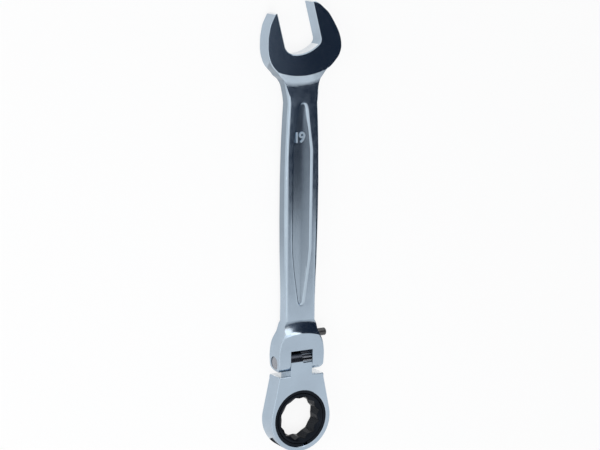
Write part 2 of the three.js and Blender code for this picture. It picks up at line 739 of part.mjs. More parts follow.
function pawl() {
  const pitch = (2 * Math.PI) / gearTeeth;
  const tip = gearRadius + pawlToothGap;
  const root = tip + gearToothDepth;
  const wall = pocketWallDistance - pocketClearance;
  const end = pawlStart + pawlLength;
  const points = [new THREE.Vector2(wall, pawlStart), new THREE.Vector2(wall, end)];
  points.push(new THREE.Vector2(Math.sqrt(root ** 2 - end ** 2), end));
  const middle = Math.asin((pawlStart + end) / 2 / root);
  for (let tooth = pawlTeeth - 1; tooth >= 0; tooth -= 1) {
    const centre = middle + (tooth - (pawlTeeth - 1) / 2) * pitch;
    const crest = (pitch * gearToothTipShare) / 2;
    const foot = pitch / 2 - (pitch * gearToothRootShare) / 2;
    for (const [angle, radius] of [[foot, root], [crest, tip], [-crest, tip], [-foot, root]]) {
      points.push(new THREE.Vector2(radius * Math.cos(centre + angle), radius * Math.sin(centre + angle)));
    }
  }
  points.push(new THREE.Vector2(Math.sqrt(root ** 2 - pawlStart ** 2), pawlStart));
  const height = pocketHeight - 2 * pocketClearance;
  const body = new THREE.ExtrudeGeometry(new THREE.Shape(points), { depth: height, bevelEnabled: false });
  body.translate(0, 0, -height / 2);
  return named("pawl", placeAtPawl(body), toolSteel());
}

function pawlSpring() {
  const body = coil(pawlSpringRadius, pawlSpringWire, pawlSpringLength, pawlSpringCurls);
  body.rotateX(-Math.PI / 2);
  body.translate(pawlSpringX(), pawlStart + pawlLength + pocketClearance, 0);
  return named("pawl_spring", placeAtPawl(body), springSteel());
}

function pivotPin() {
  const end = clevisWidth / 2 - pinRecess;
  const middle = roundBar("y", pinEndBreak - end, end - pinEndBreak, pinRadius, pinRadius, smallFacets);
  const small = pinRadius - pinEndBreak;
  const low = roundBar("y", -end, pinEndBreak - end, small, pinRadius, smallFacets);
  const high = roundBar("y", end - pinEndBreak, end, pinRadius, small, smallFacets);
  const body = joined([middle, low, high].map(toSolid));
  const geometry = toGeometry(body);
  geometry.translate(pivotX, 0, 0);
  return named("pivot_pin", geometry, pinSteel());
}

// Plunger: a round bar with a flat toothed nose and a pointed tail that rides on the cross rod
function lockPlunger() {
  const noseRadius = headHalf + plungerToothGap;
  const bodyEnd = plungerBodyEnd();
  const tipX = rodX - rodGrooveRadius - lockRunningClearance;
  const tailStart = tipX - (plungerTailRadius - plungerTipRadius);
  const body = roundBar("x", pivotX + noseRadius, bodyEnd, plungerRadius, plungerRadius, smallFacets);
  const tail = roundBar("x", bodyEnd - plungerTailRadius, tailStart, plungerTailRadius, plungerTailRadius, smallFacets);
  const point = roundBar("x", tailStart, tipX, plungerTailRadius, plungerTipRadius, smallFacets);
  const whole = joined([body, tail, point].map(toSolid));

  const pitch = (2 * Math.PI) / tongueTeethPerTurn;
  const points = [];
  for (let tooth = 0; tooth < tongueTeethPerTurn; tooth += 1) {
    const corners = [
      [-noseGrooveShare, tongueToothDepth], [-noseCrestShare, 0],
      [noseCrestShare, 0], [noseGrooveShare, tongueToothDepth],
    ];
    for (const [share, extra] of corners) {
      const angle = (tooth + share) * pitch;
      const radius = noseRadius + extra;
      points.push(new THREE.Vector2(radius * Math.cos(angle), radius * Math.sin(angle)));
    }
  }
  const hollow = new THREE.ExtrudeGeometry(new THREE.Shape(points), { depth: 4 * plungerRadius, bevelEnabled: false });
  hollow.translate(0, 0, -2 * plungerRadius);
  hollow.rotateX(Math.PI / 2);
  hollow.translate(pivotX, 0, 0);
  const geometry = toGeometry(whole.subtract(toSolid(hollow)));
  geometry.translate(0, plungerY, 0);
  return named("lock_plunger", geometry, toolSteel());
}

// Cross rod of the lock: its cone lets the plunger back when the button end is pressed
function lockButton() {
  const tail = plungerY;
  const inner = rodBoreEndY() - lockSpringLength - 2 * lockRunningClearance;
  const outer = -clevisWidth / 2 - rodProud;
  const grooveStart = tail + plungerTipRadius + rodGrooveRun;
  const coneStart = tail + plungerTipRadius;
  const coneEnd = coneStart - rodTravel;
  const neckEnd = tail - rodTravel - plungerTailRadius - lockSideClearance;
  const neckRadius = rodGrooveRadius - plungerTravel;
  const profile = [
    [0, outer], [rodRadius - rodEndBreak, outer], [rodRadius, outer + rodEndBreak], [rodRadius, neckEnd],
    [neckRadius, neckEnd], [neckRadius, coneEnd], [rodGrooveRadius, coneStart], [rodGrooveRadius, grooveStart],
    [rodRadius, grooveStart], [rodRadius, inner - rodEndBreak], [rodRadius - rodEndBreak, inner], [0, inner],
  ];
  const points = profile.map(([radius, height]) => new THREE.Vector2(radius, height));
  const body = new THREE.LatheGeometry(points, smallFacets);
  body.translate(rodX, 0, 0);
  return named("lock_button", toGeometry(toSolid(body)), bronzedSteel());
}

function lockSpring() {
  const radius = rodRadius - lockSpringWire / 2 - lockRunningClearance;
  const body = coil(radius, lockSpringWire, lockSpringLength, lockSpringCurls);
  body.rotateX(Math.PI / 2);
  body.translate(rodX, rodBoreEndY() - lockRunningClearance, 0);
  return named("lock_spring", body, springSteel());
}

function wrench() {
  const handleGroup = new THREE.Group();
  handleGroup.add(handle(), pivotPin(), lockPlunger(), lockButton(), lockSpring());
  const headGroup = new THREE.Group();
  headGroup.add(head(), gear(), retainingRing(), pawl(), pawlSpring());
  const whole = new THREE.Group();
  whole.add(handleGroup, headGroup);
  const box = new THREE.Box3().setFromObject(whole);
  const middle = box.getCenter(new THREE.Vector3());
  whole.position.set(-middle.x, -middle.y, -box.min.z);
  const top = new THREE.Group();
  top.add(whole);
  console.log("ring centre", whole.position.x.toFixed(4), whole.position.y.toFixed(4), whole.position.z.toFixed(4));
  console.log("pivot", (whole.position.x + pivotX).toFixed(4), "rod", (whole.position.x + rodX).toFixed(4));
  return top;
}

export default wrench();
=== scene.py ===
"""Looks of a flex-head combination ratchet wrench for 19 mm nuts.

The wrench lies on its back face. Its handle runs along X from the ratchet ring to the open end, Y is
to the left of the wrench seen from its front, and Z is up out of its front face. Each piece is modelled
with the ring's centre at zero and then moved to the ring's place in the frame.
"""

import json
import math

import bpy
from bpy.props import FloatProperty, FloatVectorProperty, IntProperty, PointerProperty
from mathutils import Matrix, Vector


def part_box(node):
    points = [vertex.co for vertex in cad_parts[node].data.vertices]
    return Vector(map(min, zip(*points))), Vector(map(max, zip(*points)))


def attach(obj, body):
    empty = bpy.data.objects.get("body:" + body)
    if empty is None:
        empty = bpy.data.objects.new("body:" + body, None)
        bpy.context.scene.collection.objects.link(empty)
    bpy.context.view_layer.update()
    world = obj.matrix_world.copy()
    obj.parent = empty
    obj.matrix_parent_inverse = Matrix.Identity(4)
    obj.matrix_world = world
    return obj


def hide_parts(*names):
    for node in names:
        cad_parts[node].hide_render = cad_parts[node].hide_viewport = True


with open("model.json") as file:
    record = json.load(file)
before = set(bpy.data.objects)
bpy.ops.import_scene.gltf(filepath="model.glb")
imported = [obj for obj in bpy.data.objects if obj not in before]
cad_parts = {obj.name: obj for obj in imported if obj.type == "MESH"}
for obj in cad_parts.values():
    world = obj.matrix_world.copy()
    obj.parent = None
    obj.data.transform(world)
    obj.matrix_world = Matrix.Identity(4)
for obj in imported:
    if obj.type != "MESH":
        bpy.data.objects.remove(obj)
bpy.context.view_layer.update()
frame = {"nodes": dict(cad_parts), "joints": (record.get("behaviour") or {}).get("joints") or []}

bl_info = {
    "name": "Flex-head ratchet wrench",
    "version": (1, 0, 0),
    "blender": (4, 5, 0),
    "location": "3D View > Sidebar > Wrench",
    "description": "Models a flex-head combination ratchet wrench piece by piece",
    "category": "Add Mesh",
}

MM = 0.001
# How far a cutter passes through the wrench, and how far a piece reaches past a face
THROUGH = 30 * MM
OVER = 2 * MM
# The lean of the open end and the turns of the ring's split and of the pawl's pocket, in degrees
JAW_LEAN = 15
SPLIT_TURN = -168
POCKET_TURN = -20
# The lock's teeth: their distance in degrees, how many notches lie on each side of the tongue's middle one,
# each notch as degrees and shares of its depth, and each tooth of the cutter that shapes the plunger's nose
# as shares of the distance and of the depth
LOCK_PITCH = 18
LOCK_NOTCHES = 5
LOCK_NOTCH = ((-5.9, 0), (-1.5, 1), (1.5, 1), (5.9, 0))
LOCK_NOSE = ((-0.33, 1), (-0.125, 0), (0.125, 0), (0.33, 1))
# The share of the tongue's width that has teeth
LOCK_SHARE = 0.43
# One tooth of the gear: share of the pitch, share of the depth
GEAR_TOOTH = ((-0.38, 1), (-0.14, 0), (0.14, 0), (0.38, 1))
# A face lies level when the height of its normal is over this
LEVEL = 0.999
# The wall of cards stands this far to the right of the wrench, and the two painted shadow cards on the floor
# lie this high
CARD_WALL = -0.25
SHADOW_CARD_LIFT = 0.0002


def joint_place(name):
    """The point that a joint of the frame turns about."""
    found = next(joint for joint in frame["joints"] if joint["name"] == name)
    return Vector(found["pos_m"])


ring_centre = joint_place("ratchet_spin")
pivot = joint_place("head_flex") - ring_centre
button_low, button_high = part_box("lock_button")
rod_x = (button_low.x + button_high.x) / 2 - ring_centre.x


def length(name, millimetres, description):
    return FloatProperty(
        name=name, description=description, default=millimetres * MM, unit="LENGTH", precision=5
    )


def colour(name, red, green, blue, description):
    return FloatVectorProperty(
        name=name, description=description, default=(red, green, blue), subtype="COLOR", min=0, max=1
    )


class WrenchHandleSizes(bpy.types.PropertyGroup):
    """Sizes of the forged handle"""

    clevis_width: length("Clevis width", 25.6, "Width over both ears")
    clevis_half: length("Clevis half thickness", 5, "Half the thickness of the clevis")
    slot_width: length("Slot width", 12.2, "Width of the slot between the ears")
    clevis_edge: length("Clevis edge", 0.7, "Rounded edge of the ears and the pads")
    slot_floor_gap: length("Slot floor gap", 1, "Space between the tongue and the floor of the slot")
    pad_length: length("Pad length", 14.4, "From the pivot to the end of the flat pads")
    pad_arc_radius: length("Pad arc radius", 30, "Radius of the pads' end, seen from the front")
    hollow_radius: length("Hollow radius", 14.5, "Radius of the hollow between clevis and shank")
    shank_length: length("Shank length", 112.2, "From the clevis to the narrow neck")
    shank_width: length("Shank width", 19.1, "Widest place of the shank")
    shank_half: length("Shank half thickness", 3.2, "Half the thickness of the shank")
    edge_half: length("Shank edge half height", 1.9, "Half the height of the shank's upright edge")
    shoulder_run: length("Shoulder run", 1.6, "Width of the rounded shoulders")
    panel_length: length("Panel length", 101.2, "Length of the sunk panel")
    panel_width: length("Panel width", 12.2, "Width of the sunk panel")
    panel_depth: length("Panel depth", 0.7, "Depth of the sunk panel")
    panel_trough: length("Panel trough", 0.13, "Extra depth along the floor's middle")
    panel_wall: length("Panel wall run", 1.5, "Run of the panel's sloped wall")
    panel_from_neck: length("Panel from neck", 1.1, "How far the panel reaches past the narrow neck")
    neck_length: length("Neck length", 29.2, "From the narrow neck to the open end's middle")
    neck_blend: length("Neck blend", 13, "Length over which the shoulders fade out")
    jaw_radius: length("Jaw radius", 20.3, "Radius of the open end")
    jaw_half: length("Jaw half thickness", 4, "Half the thickness of the open end")
    jaw_side_shift: length("Jaw side shift", 1.1, "How far the throat lies to the left")
    jaw_flats: length("Jaw opening", 19.5, "Distance between the two flats")
    throat_bottom: length("Throat bottom", 5.2, "From the open end's middle to the bottom")
    throat_radius: length("Throat bottom radius", 18, "Radius of the throat's hollow bottom")
    throat_left: length("Left throat corner", 5.5, "Radius of the throat's left corner")
    throat_right: length("Right throat corner", 3, "Radius of the throat's right corner")
    jaw_edge: length("Jaw edge break", 0.5, "Broken edges of the open end")
    tip_break: length("Jaw tip break", 1.2, "How much is cut off the tips")
    face_arc_radius: length("Face arc radius", 36, "Radius of the lower end of the flat faces")
    face_arc_reach: length("Face arc reach", 15.9, "How far the faces reach below the middle")
    face_arc_shift: length("Face arc shift", 2, "How far that arc's centre lies to the left")
    bevel_run: length("Bevel run", 9.5, "Run of the slope below the flat faces")
    bevel_drop: length("Bevel drop", 1.6, "Fall of that slope over its run")
    bevel_foot_radius: length("Bevel foot radius", 22, "Radius of the soft foot of that slope")
    edge_break: length("Edge break", 0.12, "Softened edges of the forging")
    mark_size: length("Size mark height", 7.2, "Height of the size mark's letters")
    mark_half: length("Size mark half depth", 0.2, "Half its depth without the rounding")
    mark_edge: length("Size mark edge", 0.1, "Rounding of the size mark")
    mark_rise: length("Size mark rise", 0.06, "How far the size mark's middle lies over the floor")
    mark_x: length("Size mark place", 139.6, "From the ring's centre to the size mark")
    mark_y: length("Size mark side place", 1.6, "How far the size mark lies to the left")


class WrenchHeadSizes(bpy.types.PropertyGroup):
    """Sizes of the ratchet head and of what turns in it"""

    ring_radius: length("Ring radius", 16.6, "Outer radius of the ratchet ring")
    head_half: length("Head half thickness", 5, "Half the thickness of the head")
    head_edge: length("Head edge break", 0.5, "Rounded edge of the head")
    shoulder_x: length("Shoulder place", 22.2, "From the ring's centre to the shoulder")
    shoulder_width: length("Shoulder width", 25.4, "Width of the head at its shoulder")
    shoulder_corner: length("Shoulder corner", 1.1, "Radius of the shoulder's corners")
    bore_radius: length("Head bore radius", 14.3, "Radius of the gear's chamber")
    lip_radius: length("Back lip radius", 12.9, "Radius of the hole in the back lip")
    lip_thickness: length("Back lip thickness", 1.1, "Thickness of the back lip")
    groove_depth: length("Groove depth", 0.7, "Depth of the retaining ring's groove")
    ring_recess: length("Retaining ring recess", 0.45, "How deep the retaining ring lies")
    ring_thickness: length("Retaining ring thickness", 0.9, "Thickness of the retaining ring")
    ring_split: length("Retaining ring split", 2.6, "Width of its split")
    tongue_width: length("Tongue width", 11.9, "Width of the tongue")
    tongue_tooth: length("Tongue tooth depth", 0.55, "Depth of the lock teeth")
    gear_radius: length("Gear radius", 14.1, "Outer radius of the gear's teeth")
    gear_tooth: length("Gear tooth depth", 0.6, "Depth of the gear's teeth")
    gear_neck: length("Gear neck radius", 12.6, "Radius of the gear's black face")
    gear_recess: length("Gear face recess", 0.2, "How deep the gear's face lies")
    bore_flats: length("Bore across flats", 19.15, "Across the flats of the twelve-point bore")
    mouth_depth: length("Bore mouth depth", 2.2, "Depth of the bore's flared mouth")
    mouth_flare: length("Bore mouth flare", 0.5, "How far the mouth opens")
    gear_lift: length("Gear lift", 0.15, "Space between the gear and the back lip")
    gear_drop: length("Gear drop", 0.3, "Space between the teeth and the ring")
    ring_clearance: length("Ring clearance", 0.1, "Space round the retaining ring in its groove")
    ring_gap: length("Ring gap", 0.3, "Space between the retaining ring and the gear's neck")
    gear_rim: length("Gear rim", 0.25, "Rounded edge of the gear's face")
    gear_edge: length("Gear edge break", 0.08, "Softened edges of the gear")
    ring_edge: length("Ring edge", 0.12, "Rounded edge of the retaining ring")
    bore_rim: length("Head bore rim", 0.25, "Broken edge round the gear's chamber")
    tongue_edge: length("Tongue edge", 0.2, "Rounded edge of the tongue")
    pocket_start: length("Pocket start", 7, "From the ring's centre to the pawl's pocket")
    pocket_end: length("Pocket end", 17.6, "From the ring's centre to the pocket's end")
    pocket_reach: length("Pocket reach", 9.05, "How far the pocket reaches across")
    pocket_half: length("Pocket half height", 2.7, "Half the height of the pocket")
    pocket_gap: length("Pocket gap", 0.05, "Space beside the pawl")
    chamber_x: length("Spring chamber place", 15.8, "From the ring's centre to the spring's chamber")
    chamber_start: length("Spring chamber start", 7, "From the pocket's wall to that chamber's start")
    chamber_end: length("Spring chamber end", 12.3, "How far that chamber reaches across")
    chamber_radius: length("Spring chamber radius", 1.6, "Radius of that chamber")
    gear_teeth: IntProperty(name="Gear teeth", description="Number of teeth round the gear", default=72)


class WrenchLockSizes(bpy.types.PropertyGroup):
    """Sizes of the pivot pin and the lock"""

    pin_radius: length("Pin radius", 3.15, "Radius of the pivot pin")
    pin_recess: length("Pin recess", 0.45, "How deep the pin's ends lie in the ears")
    rod_radius: length("Button radius", 1.9, "Radius of the lock button")
    rod_proud: length("Button stand", 2.9, "How far the button stands out")
    rod_edge: length("Button edge", 0.5, "Rounded edge of the button")
    plunger_radius: length("Plunger radius", 2.4, "Radius of the lock plunger")
    plunger_gap: length("Plunger gap", 0.3, "Space between the plunger and the tongue")
    clearance: length("Running clearance", 0.15, "Space round the sliding pieces")
    pin_ear_gap: length("Pin gap in the ears", 0.1, "Space round the pin in the ears")
    plunger_shift: length("Plunger shift", 2.975, "How far the plunger lies to the right of the middle")
    plunger_bore: length("Plunger bore", 4, "How far the plunger's bore passes the slot's floor")
    rod_bore_end: length("Button bore end", 8.6, "From the middle to the end of the button's bore")
    spring_space: length("Spring space", 5.3, "Length of the lock spring behind the cross rod")


class WrenchColours(bpy.types.PropertyGroup):
    """Colours of the finishes, with painted light and painted shade among them"""

    satin: colour("Satin chrome", 0.43, 0.515, 0.605, "Pearl chrome plating")
    polished: colour("Polished chrome", 0.50, 0.57, 0.64, "Polished faces of the open end and of the hollow")
    # Ground finish with a lengthwise grain, painted lighter than the chrome round it as a painted sheen
    ground: colour("Ground chrome", 0.6, 0.7, 0.8, "Slope below the faces of the open end")
    # Painted shade: the tongue's roll is the head's own chrome, made nearly black for the shade in its slot
    roll: colour("Roll steel", 0.06, 0.065, 0.078, "The tongue's roll in its slot")
    # Painted light: a near-white colour on faces that look towards +X, the throat's bottom and the head's
    # shoulder walls
    bright: colour("Bright chrome", 0.9, 0.93, 0.96, "Ground ends and the throat's bottom")
    black: colour("Black phosphate", 0.006, 0.007, 0.010, "Gear and retaining ring")
    pin: colour("Pin steel", 0.36, 0.37, 0.40, "Ground end of the pivot pin")
    bronze: colour("Bronzed steel", 0.1, 0.1, 0.102, "Lock button")
    tool: colour("Tool steel", 0.30, 0.32, 0.35, "Plunger and pawl")
    spring: colour("Spring steel", 0.42, 0.44, 0.47, "Both springs")
    floor: colour("Floor", 0.95, 0.95, 0.95, "Plain pale floor")


# Outlines, as shares of a length and a half width

SHANK_SIDE_SHARES = [
    (0, 0.88), (0.06, 0.89), (0.13, 0.888), (0.22, 0.912), (0.31, 0.954), (0.4, 0.979), (0.49, 0.995),
    (0.58, 1), (0.67, 1), (0.76, 0.985), (0.84, 0.959), (0.92, 0.918), (0.965, 0.887), (1, 0.866),
]
NECK_LEFT_SHARES = [
    (0, 0.407), (0.11, 0.427), (0.209, 0.458), (0.312, 0.493), (0.36, 0.524), (0.408, 0.567), (0.459, 0.657),
    (0.51, 0.713), (0.562, 0.79), (0.61, 0.85), (0.7, 0.895), (1, 0.8),
]
NECK_RIGHT_SHARES = [
    (0, 0.413), (0.15, 0.427), (0.25, 0.43), (0.346, 0.44), (0.4, 0.457), (0.449, 0.499), (0.497, 0.549),
    (0.545, 0.608), (0.589, 0.7), (0.65, 0.79), (0.74, 0.86), (1, 0.8),
]
JAW_RIM_SHARES = [
    (-0.63, 0.79), (-0.562, 0.854), (-0.488, 0.903), (-0.414, 0.938), (-0.276, 0.982), (-0.133, 1.002),
    (0.005, 1.002), (0.148, 0.997), (0.286, 0.972), (0.424, 0.943), (0.562, 0.879), (0.7, 0.8), (0.793, 0.67),
    (0.892, 0.493), (0.975, 0.246), (1, 0), (0.966, -0.246), (0.921, -0.36), (0.847, -0.463), (0.695, -0.635),
    (0.542, -0.746), (0.399, -0.834), (0.256, -0.913), (0.113, -0.968), (-0.03, -0.997), (-0.172, -0.997),
    (-0.315, -0.948), (-0.384, -0.903), (-0.453, -0.844), (-0.522, -0.78), (-0.591, -0.706), (-0.655, -0.608),
]
CLEVIS_SIDE_SHARES = [
    (0, 0.83), (0.029, 0.9), (0.081, 0.955), (0.154, 0.985), (0.265, 1), (0.337, 1), (0.43, 0.985),
    (0.521, 0.955), (0.595, 0.91), (0.639, 0.865), (0.683, 0.81), (0.741, 0.745), (0.818, 0.715),
    (0.885, 0.69), (0.94, 0.64), (1, 0.56),
]
PANEL_SIDE_SHARES = [
    (0, 0.02), (0.006, 0.16), (0.022, 0.27), (0.07, 0.42), (0.15, 0.68), (0.25, 0.92), (0.34, 1),
    (0.7, 1), (0.79, 0.93), (0.88, 0.7), (0.95, 0.46), (0.985, 0.32), (0.997, 0.18), (1, 0.02),
]
# The panel's wall from its rim to its floor: run, depth
PANEL_WALL_SHARES = [(0.55, 0.12), (0.1, 0.2), (0.12, 0.33), (0.11, 0.25), (0.12, 0.1)]
# The rings of the trough in the panel's floor, and how much shorter they get towards its middle
TROUGH_SHARES = (0.88, 0.76, 0.64, 0.52, 0.4, 0.28, 0.16)
TROUGH_END_SHARE = 0.2


def smooth_line(points, steps):
    """Points of an even curve through the given ones."""
    line = []
    for step in range(steps + 1):
        place = (len(points) - 1) * step / steps
        start = min(int(place), len(points) - 2)
        part = place - start
        before = points[max(start - 1, 0)]
        first = points[start]
        second = points[start + 1]
        after = points[min(start + 2, len(points) - 1)]
        spot = []
        for a, b, c, d in zip(before, first, second, after):
            leave = (c - a) / 2
            arrive = (d - b) / 2
            cubic = (2 * b - 2 * c + leave + arrive) * part**3
            square = (3 * c - 3 * b - 2 * leave - arrive) * part**2
            spot.append(cubic + square + leave * part + b)
        line.append(tuple(spot))
    return line


def side_line(shares, start, reach, half_width, steps):
    knots = [(start + along * reach, across * half_width) for along, across in shares]
    return smooth_line(knots, steps)


def between(left, right):
    """The closed outline between a left line and the mirror image of a right line."""
    return [(x, -y) for x, y in right] + list(reversed(left))


def grown(points, distance):
    """The outline moved outwards by a distance, with its corners kept sharp up to a limit."""
    result = []
    count = len(points)
    for place in range(count):
        here = Vector(points[place])
        arrive = (here - Vector(points[place - 1])).normalized()
        leave = (Vector(points[(place + 1) % count]) - here).normalized()
        along = (arrive + leave).normalized()
        stretch = 1 / max(arrive.dot(along), 0.7)
        result.append(tuple(here + Vector((along.y, -along.x)) * distance * stretch))
    return result


def arc(centre, radius, start, end, steps):
    """Points on an arc, with its angles in degrees."""
    points = []
    for step in range(steps + 1):
        angle = math.radians(start + (end - start) * step / max(steps, 1))
        points.append((centre[0] + radius * math.cos(angle), centre[1] + radius * math.sin(angle)))
    return points


def rounded(run, rise, steps):
    """Steps in and up that round an edge."""
    turns = [math.pi / 2 * step / steps for step in range(steps + 1)]
    return [
        (run * (math.cos(low) - math.cos(high)), rise * (math.sin(high) - math.sin(low)))
        for low, high in zip(turns, turns[1:])
    ]


# Modelling steps


def choose(*objects):
    """Selects these objects and no other, in object mode."""
    if bpy.context.object and bpy.context.object.mode != "OBJECT":
        bpy.ops.object.mode_set(mode="OBJECT")
    bpy.ops.object.select_all(action="DESELECT")
    for one in objects:
        one.select_set(True)
    bpy.context.view_layer.objects.active = objects[0]


def edit_all(obj, kind="FACE"):
    choose(obj)
    bpy.ops.object.mode_set(mode="EDIT")
    bpy.ops.mesh.select_mode(type=kind)
    bpy.ops.mesh.select_all(action="SELECT")


def leave_edit():
    bpy.ops.object.mode_set(mode="OBJECT")


def edit_faces(obj, wanted):
    """Enters edit mode with the faces selected for which wanted(centre, normal) is true."""
    choose(obj)
    bpy.ops.object.mode_set(mode="EDIT")
    bpy.ops.mesh.select_mode(type="FACE")
    bpy.ops.mesh.select_all(action="DESELECT")
    leave_edit()
    for face in obj.data.polygons:
        face.select = wanted(face.center, face.normal)
    bpy.ops.object.mode_set(mode="EDIT")


def face_outwards(obj):
    edit_all(obj)
    bpy.ops.mesh.normals_make_consistent(inside=False)
    leave_edit()


def from_circle(name, places, fill):
    """A circle with its corners moved to the given places."""
    bpy.ops.object.select_all(action="DESELECT")
    bpy.ops.mesh.primitive_circle_add(vertices=len(places), radius=1, fill_type=fill, location=(0, 0, 0))
    obj = bpy.context.object
    obj.name = name
    for vertex, place in zip(obj.data.vertices, places):
        vertex.co = place
    return obj


def flat_face(name, points, height=0.0):
    """One flat face with its corners on the given points."""
    return from_circle(name, [(x, y, height) for x, y in points], "NGON")


def plate(name, points, low, high, rim=None, under=None):
    """An outline raised from low to high. rim and under step its upper and lower faces in and on."""
    obj = flat_face(name, points, low)
    edit_all(obj)
    bpy.ops.mesh.extrude_region_move(TRANSFORM_OT_translate={"value": (0, 0, high - low)})
    leave_edit()
    face_outwards(obj)
    step_on(obj, points, high, 1, rim or [])
    step_on(obj, points, low, -1, under or [])
    return obj


def step_on(obj, points, level, side, steps):
    """Extrudes the flat upper or lower face in steps, each drawn in by a run and moved on by a rise."""
    drawn = 0
    for run, rise in steps:
        raise_ring(obj, grown(points, -drawn), grown(points, -drawn - run), level, side, rise)
        drawn += run
        level += side * rise


def raise_ring(obj, before, after, level, side, rise):
    """Extrudes the face at a level by a rise and moves its corners from one outline to another."""
    edit_faces(obj, lambda centre, normal: normal.z * side > 0.9 and abs(centre.z - level) < 1e-6)
    bpy.ops.mesh.extrude_region_move(TRANSFORM_OT_translate={"value": (0, 0, side * rise)})
    leave_edit()
    before = [Vector(point) for point in before]
    for vertex in obj.data.vertices:
        if vertex.select:
            nearest = min(range(len(before)), key=lambda place: (before[place] - vertex.co.xy).length_squared)
            vertex.co.xy = after[nearest]


def sink_middle(obj, points, level, side, depth):
    """Sinks a long flat upper or lower face ring by ring, as a shallow trough along X."""
    middle = (max(x for x, y in points) + min(x for x, y in points)) / 2
    before = points
    last = 1
    for share in TROUGH_SHARES:
        rise = depth * (last * last - share * share)
        drawn = 1 - TROUGH_END_SHARE * (1 - share)
        after = [(middle + (x - middle) * drawn, y * share) for x, y in points]
        raise_ring(obj, before, after, level, side, rise)
        before = after
        level += side * rise
        last = share


def even_plate(name, points, half, steps=None):
    """A plate with the same edge on its front and its back."""
    drop = sum(rise for run, rise in steps) if steps else 0
    return plate(name, points, drop - half, half - drop, steps, steps)


def turned(name, profile, steps=128, axis="Z"):
    """A closed profile of radius and height, spun about an axis."""
    obj = from_circle(name, [(radius, 0, height) for radius, height in profile], "NOTHING")
    edit_all(obj, "VERT")
    bpy.ops.mesh.spin(steps=steps, angle=2 * math.pi, center=(0, 0, 0), axis=(0, 0, 1))
    bpy.ops.mesh.select_all(action="SELECT")
    bpy.ops.mesh.remove_doubles(threshold=1e-7)
    bpy.ops.mesh.delete_loose(use_faces=False)
    leave_edit()
    if axis != "Z":
        turn(obj, *((90, "Y") if axis == "X" else (-90, "X")))
    face_outwards(obj)
    return obj


def turn(obj, degrees, axis):
    obj.data.transform(Matrix.Rotation(math.radians(degrees), 4, axis))


def move(obj, x=0.0, y=0.0, z=0.0):
    choose(obj)
    obj.location = (x, y, z)
    bpy.ops.object.transform_apply(location=True, rotation=False, scale=False)


def bar(name, radius, start, end, axis, steps=64):
    """A round bar along an axis."""
    return turned(name, [(0, start), (radius, start), (radius, end), (0, end)], steps, axis)


def bore(body, name, radius, start, end, axis, x, y=0.0):
    """Cuts a round bore along an axis."""
    cutter = bar(name, radius, start, end, axis)
    move(cutter, x, y)
    return combine(body, cutter, "DIFFERENCE")


def block(name, low, high):
    points = [(low[0], low[1]), (high[0], low[1]), (high[0], high[1]), (low[0], high[1])]
    return plate(name, points, low[2], high[2])


def combine(target, other, operation):
    """Joins, cuts or crosses the target with the other solid, which goes."""
    choose(target)
    step = target.modifiers.new("combine", "BOOLEAN")
    step.operation = operation
    step.solver = "EXACT"
    step.object = other
    bpy.ops.object.modifier_apply(modifier=step.name)
    mesh = other.data
    bpy.data.objects.remove(other)
    bpy.data.meshes.remove(mesh)
    return target


def tidy(obj, degrees=1.0):
    """Joins corners that lie together and flat neighbours, after joining and cutting."""
    edit_all(obj, "VERT")
    bpy.ops.mesh.remove_doubles(threshold=2e-6)
    bpy.ops.mesh.dissolve_degenerate(threshold=1e-6)
    bpy.ops.mesh.select_all(action="SELECT")
    bpy.ops.mesh.dissolve_limited(angle_limit=math.radians(degrees), delimit={"MATERIAL"})
    leave_edit()


def soften(obj, width, degrees=40.0, segments=2):
    """A small bevel on every edge sharper than the angle."""
    choose(obj)
    step = obj.modifiers.new("edges", "BEVEL")
    step.limit_method = "ANGLE"
    step.angle_limit = math.radians(degrees)
    step.width = width
    step.segments = segments
    step.use_clamp_overlap = True
    bpy.ops.object.modifier_apply(modifier=step.name)


def shade(obj, degrees=30.0):
    """Smooth shading with crisp edges, led by the large faces."""
    choose(obj)
    bpy.ops.object.shade_smooth_by_angle(angle=math.radians(degrees))
    step = obj.modifiers.new("shading", "WEIGHTED_NORMAL")
    step.keep_sharp = True
    step.weight = 80
    bpy.ops.object.modifier_apply(modifier=step.name)


def finished(obj, name, body, node, material, degrees=30.0):
    """Puts a piece in its place in the frame and gives it its finish and its body."""
    obj.name = name
    obj.data.name = name
    if not obj.data.materials:
        obj.data.materials.append(material)
    shade(obj, degrees)
    move(obj, *ring_centre)
    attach(obj, body)
    if node:
        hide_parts(node)
    return obj


# Finishes


def new_material(name):
    material = bpy.data.materials.new(name)
    material.use_nodes = True
    return material, material.node_tree, material.node_tree.nodes["Principled BSDF"]


def add_node(tree, kind, **values):
    node = tree.nodes.new(kind)
    for name, value in values.items():
        setattr(node, name, value)
    return node


def grain(tree, scale, detail, roughness=0.5, stretch=(1, 1, 1)):
    """Noise on the piece's own coordinates. stretch sets its scale on each axis."""
    place = add_node(tree, "ShaderNodeTexCoord")
    mapping = add_node(tree, "ShaderNodeMapping")
    mapping.inputs["Scale"].default_value = stretch
    noise = add_node(tree, "ShaderNodeTexNoise")
    noise.inputs["Scale"].default_value = scale
    noise.inputs["Detail"].default_value = detail
    noise.inputs["Roughness"].default_value = roughness
    tree.links.new(place.outputs["Object"], mapping.inputs["Vector"])
    tree.links.new(mapping.outputs["Vector"], noise.inputs["Vector"])
    return noise


def spread_to(tree, noise, socket, low, high):
    """Leads a noise to a number between low and high."""
    step = add_node(tree, "ShaderNodeMapRange")
    step.inputs["From Min"].default_value = 0.35
    step.inputs["From Max"].default_value = 0.65
    step.inputs["To Min"].default_value = low
    step.inputs["To Max"].default_value = high
    tree.links.new(noise.outputs["Fac"], step.inputs["Value"])
    tree.links.new(step.outputs["Result"], socket)


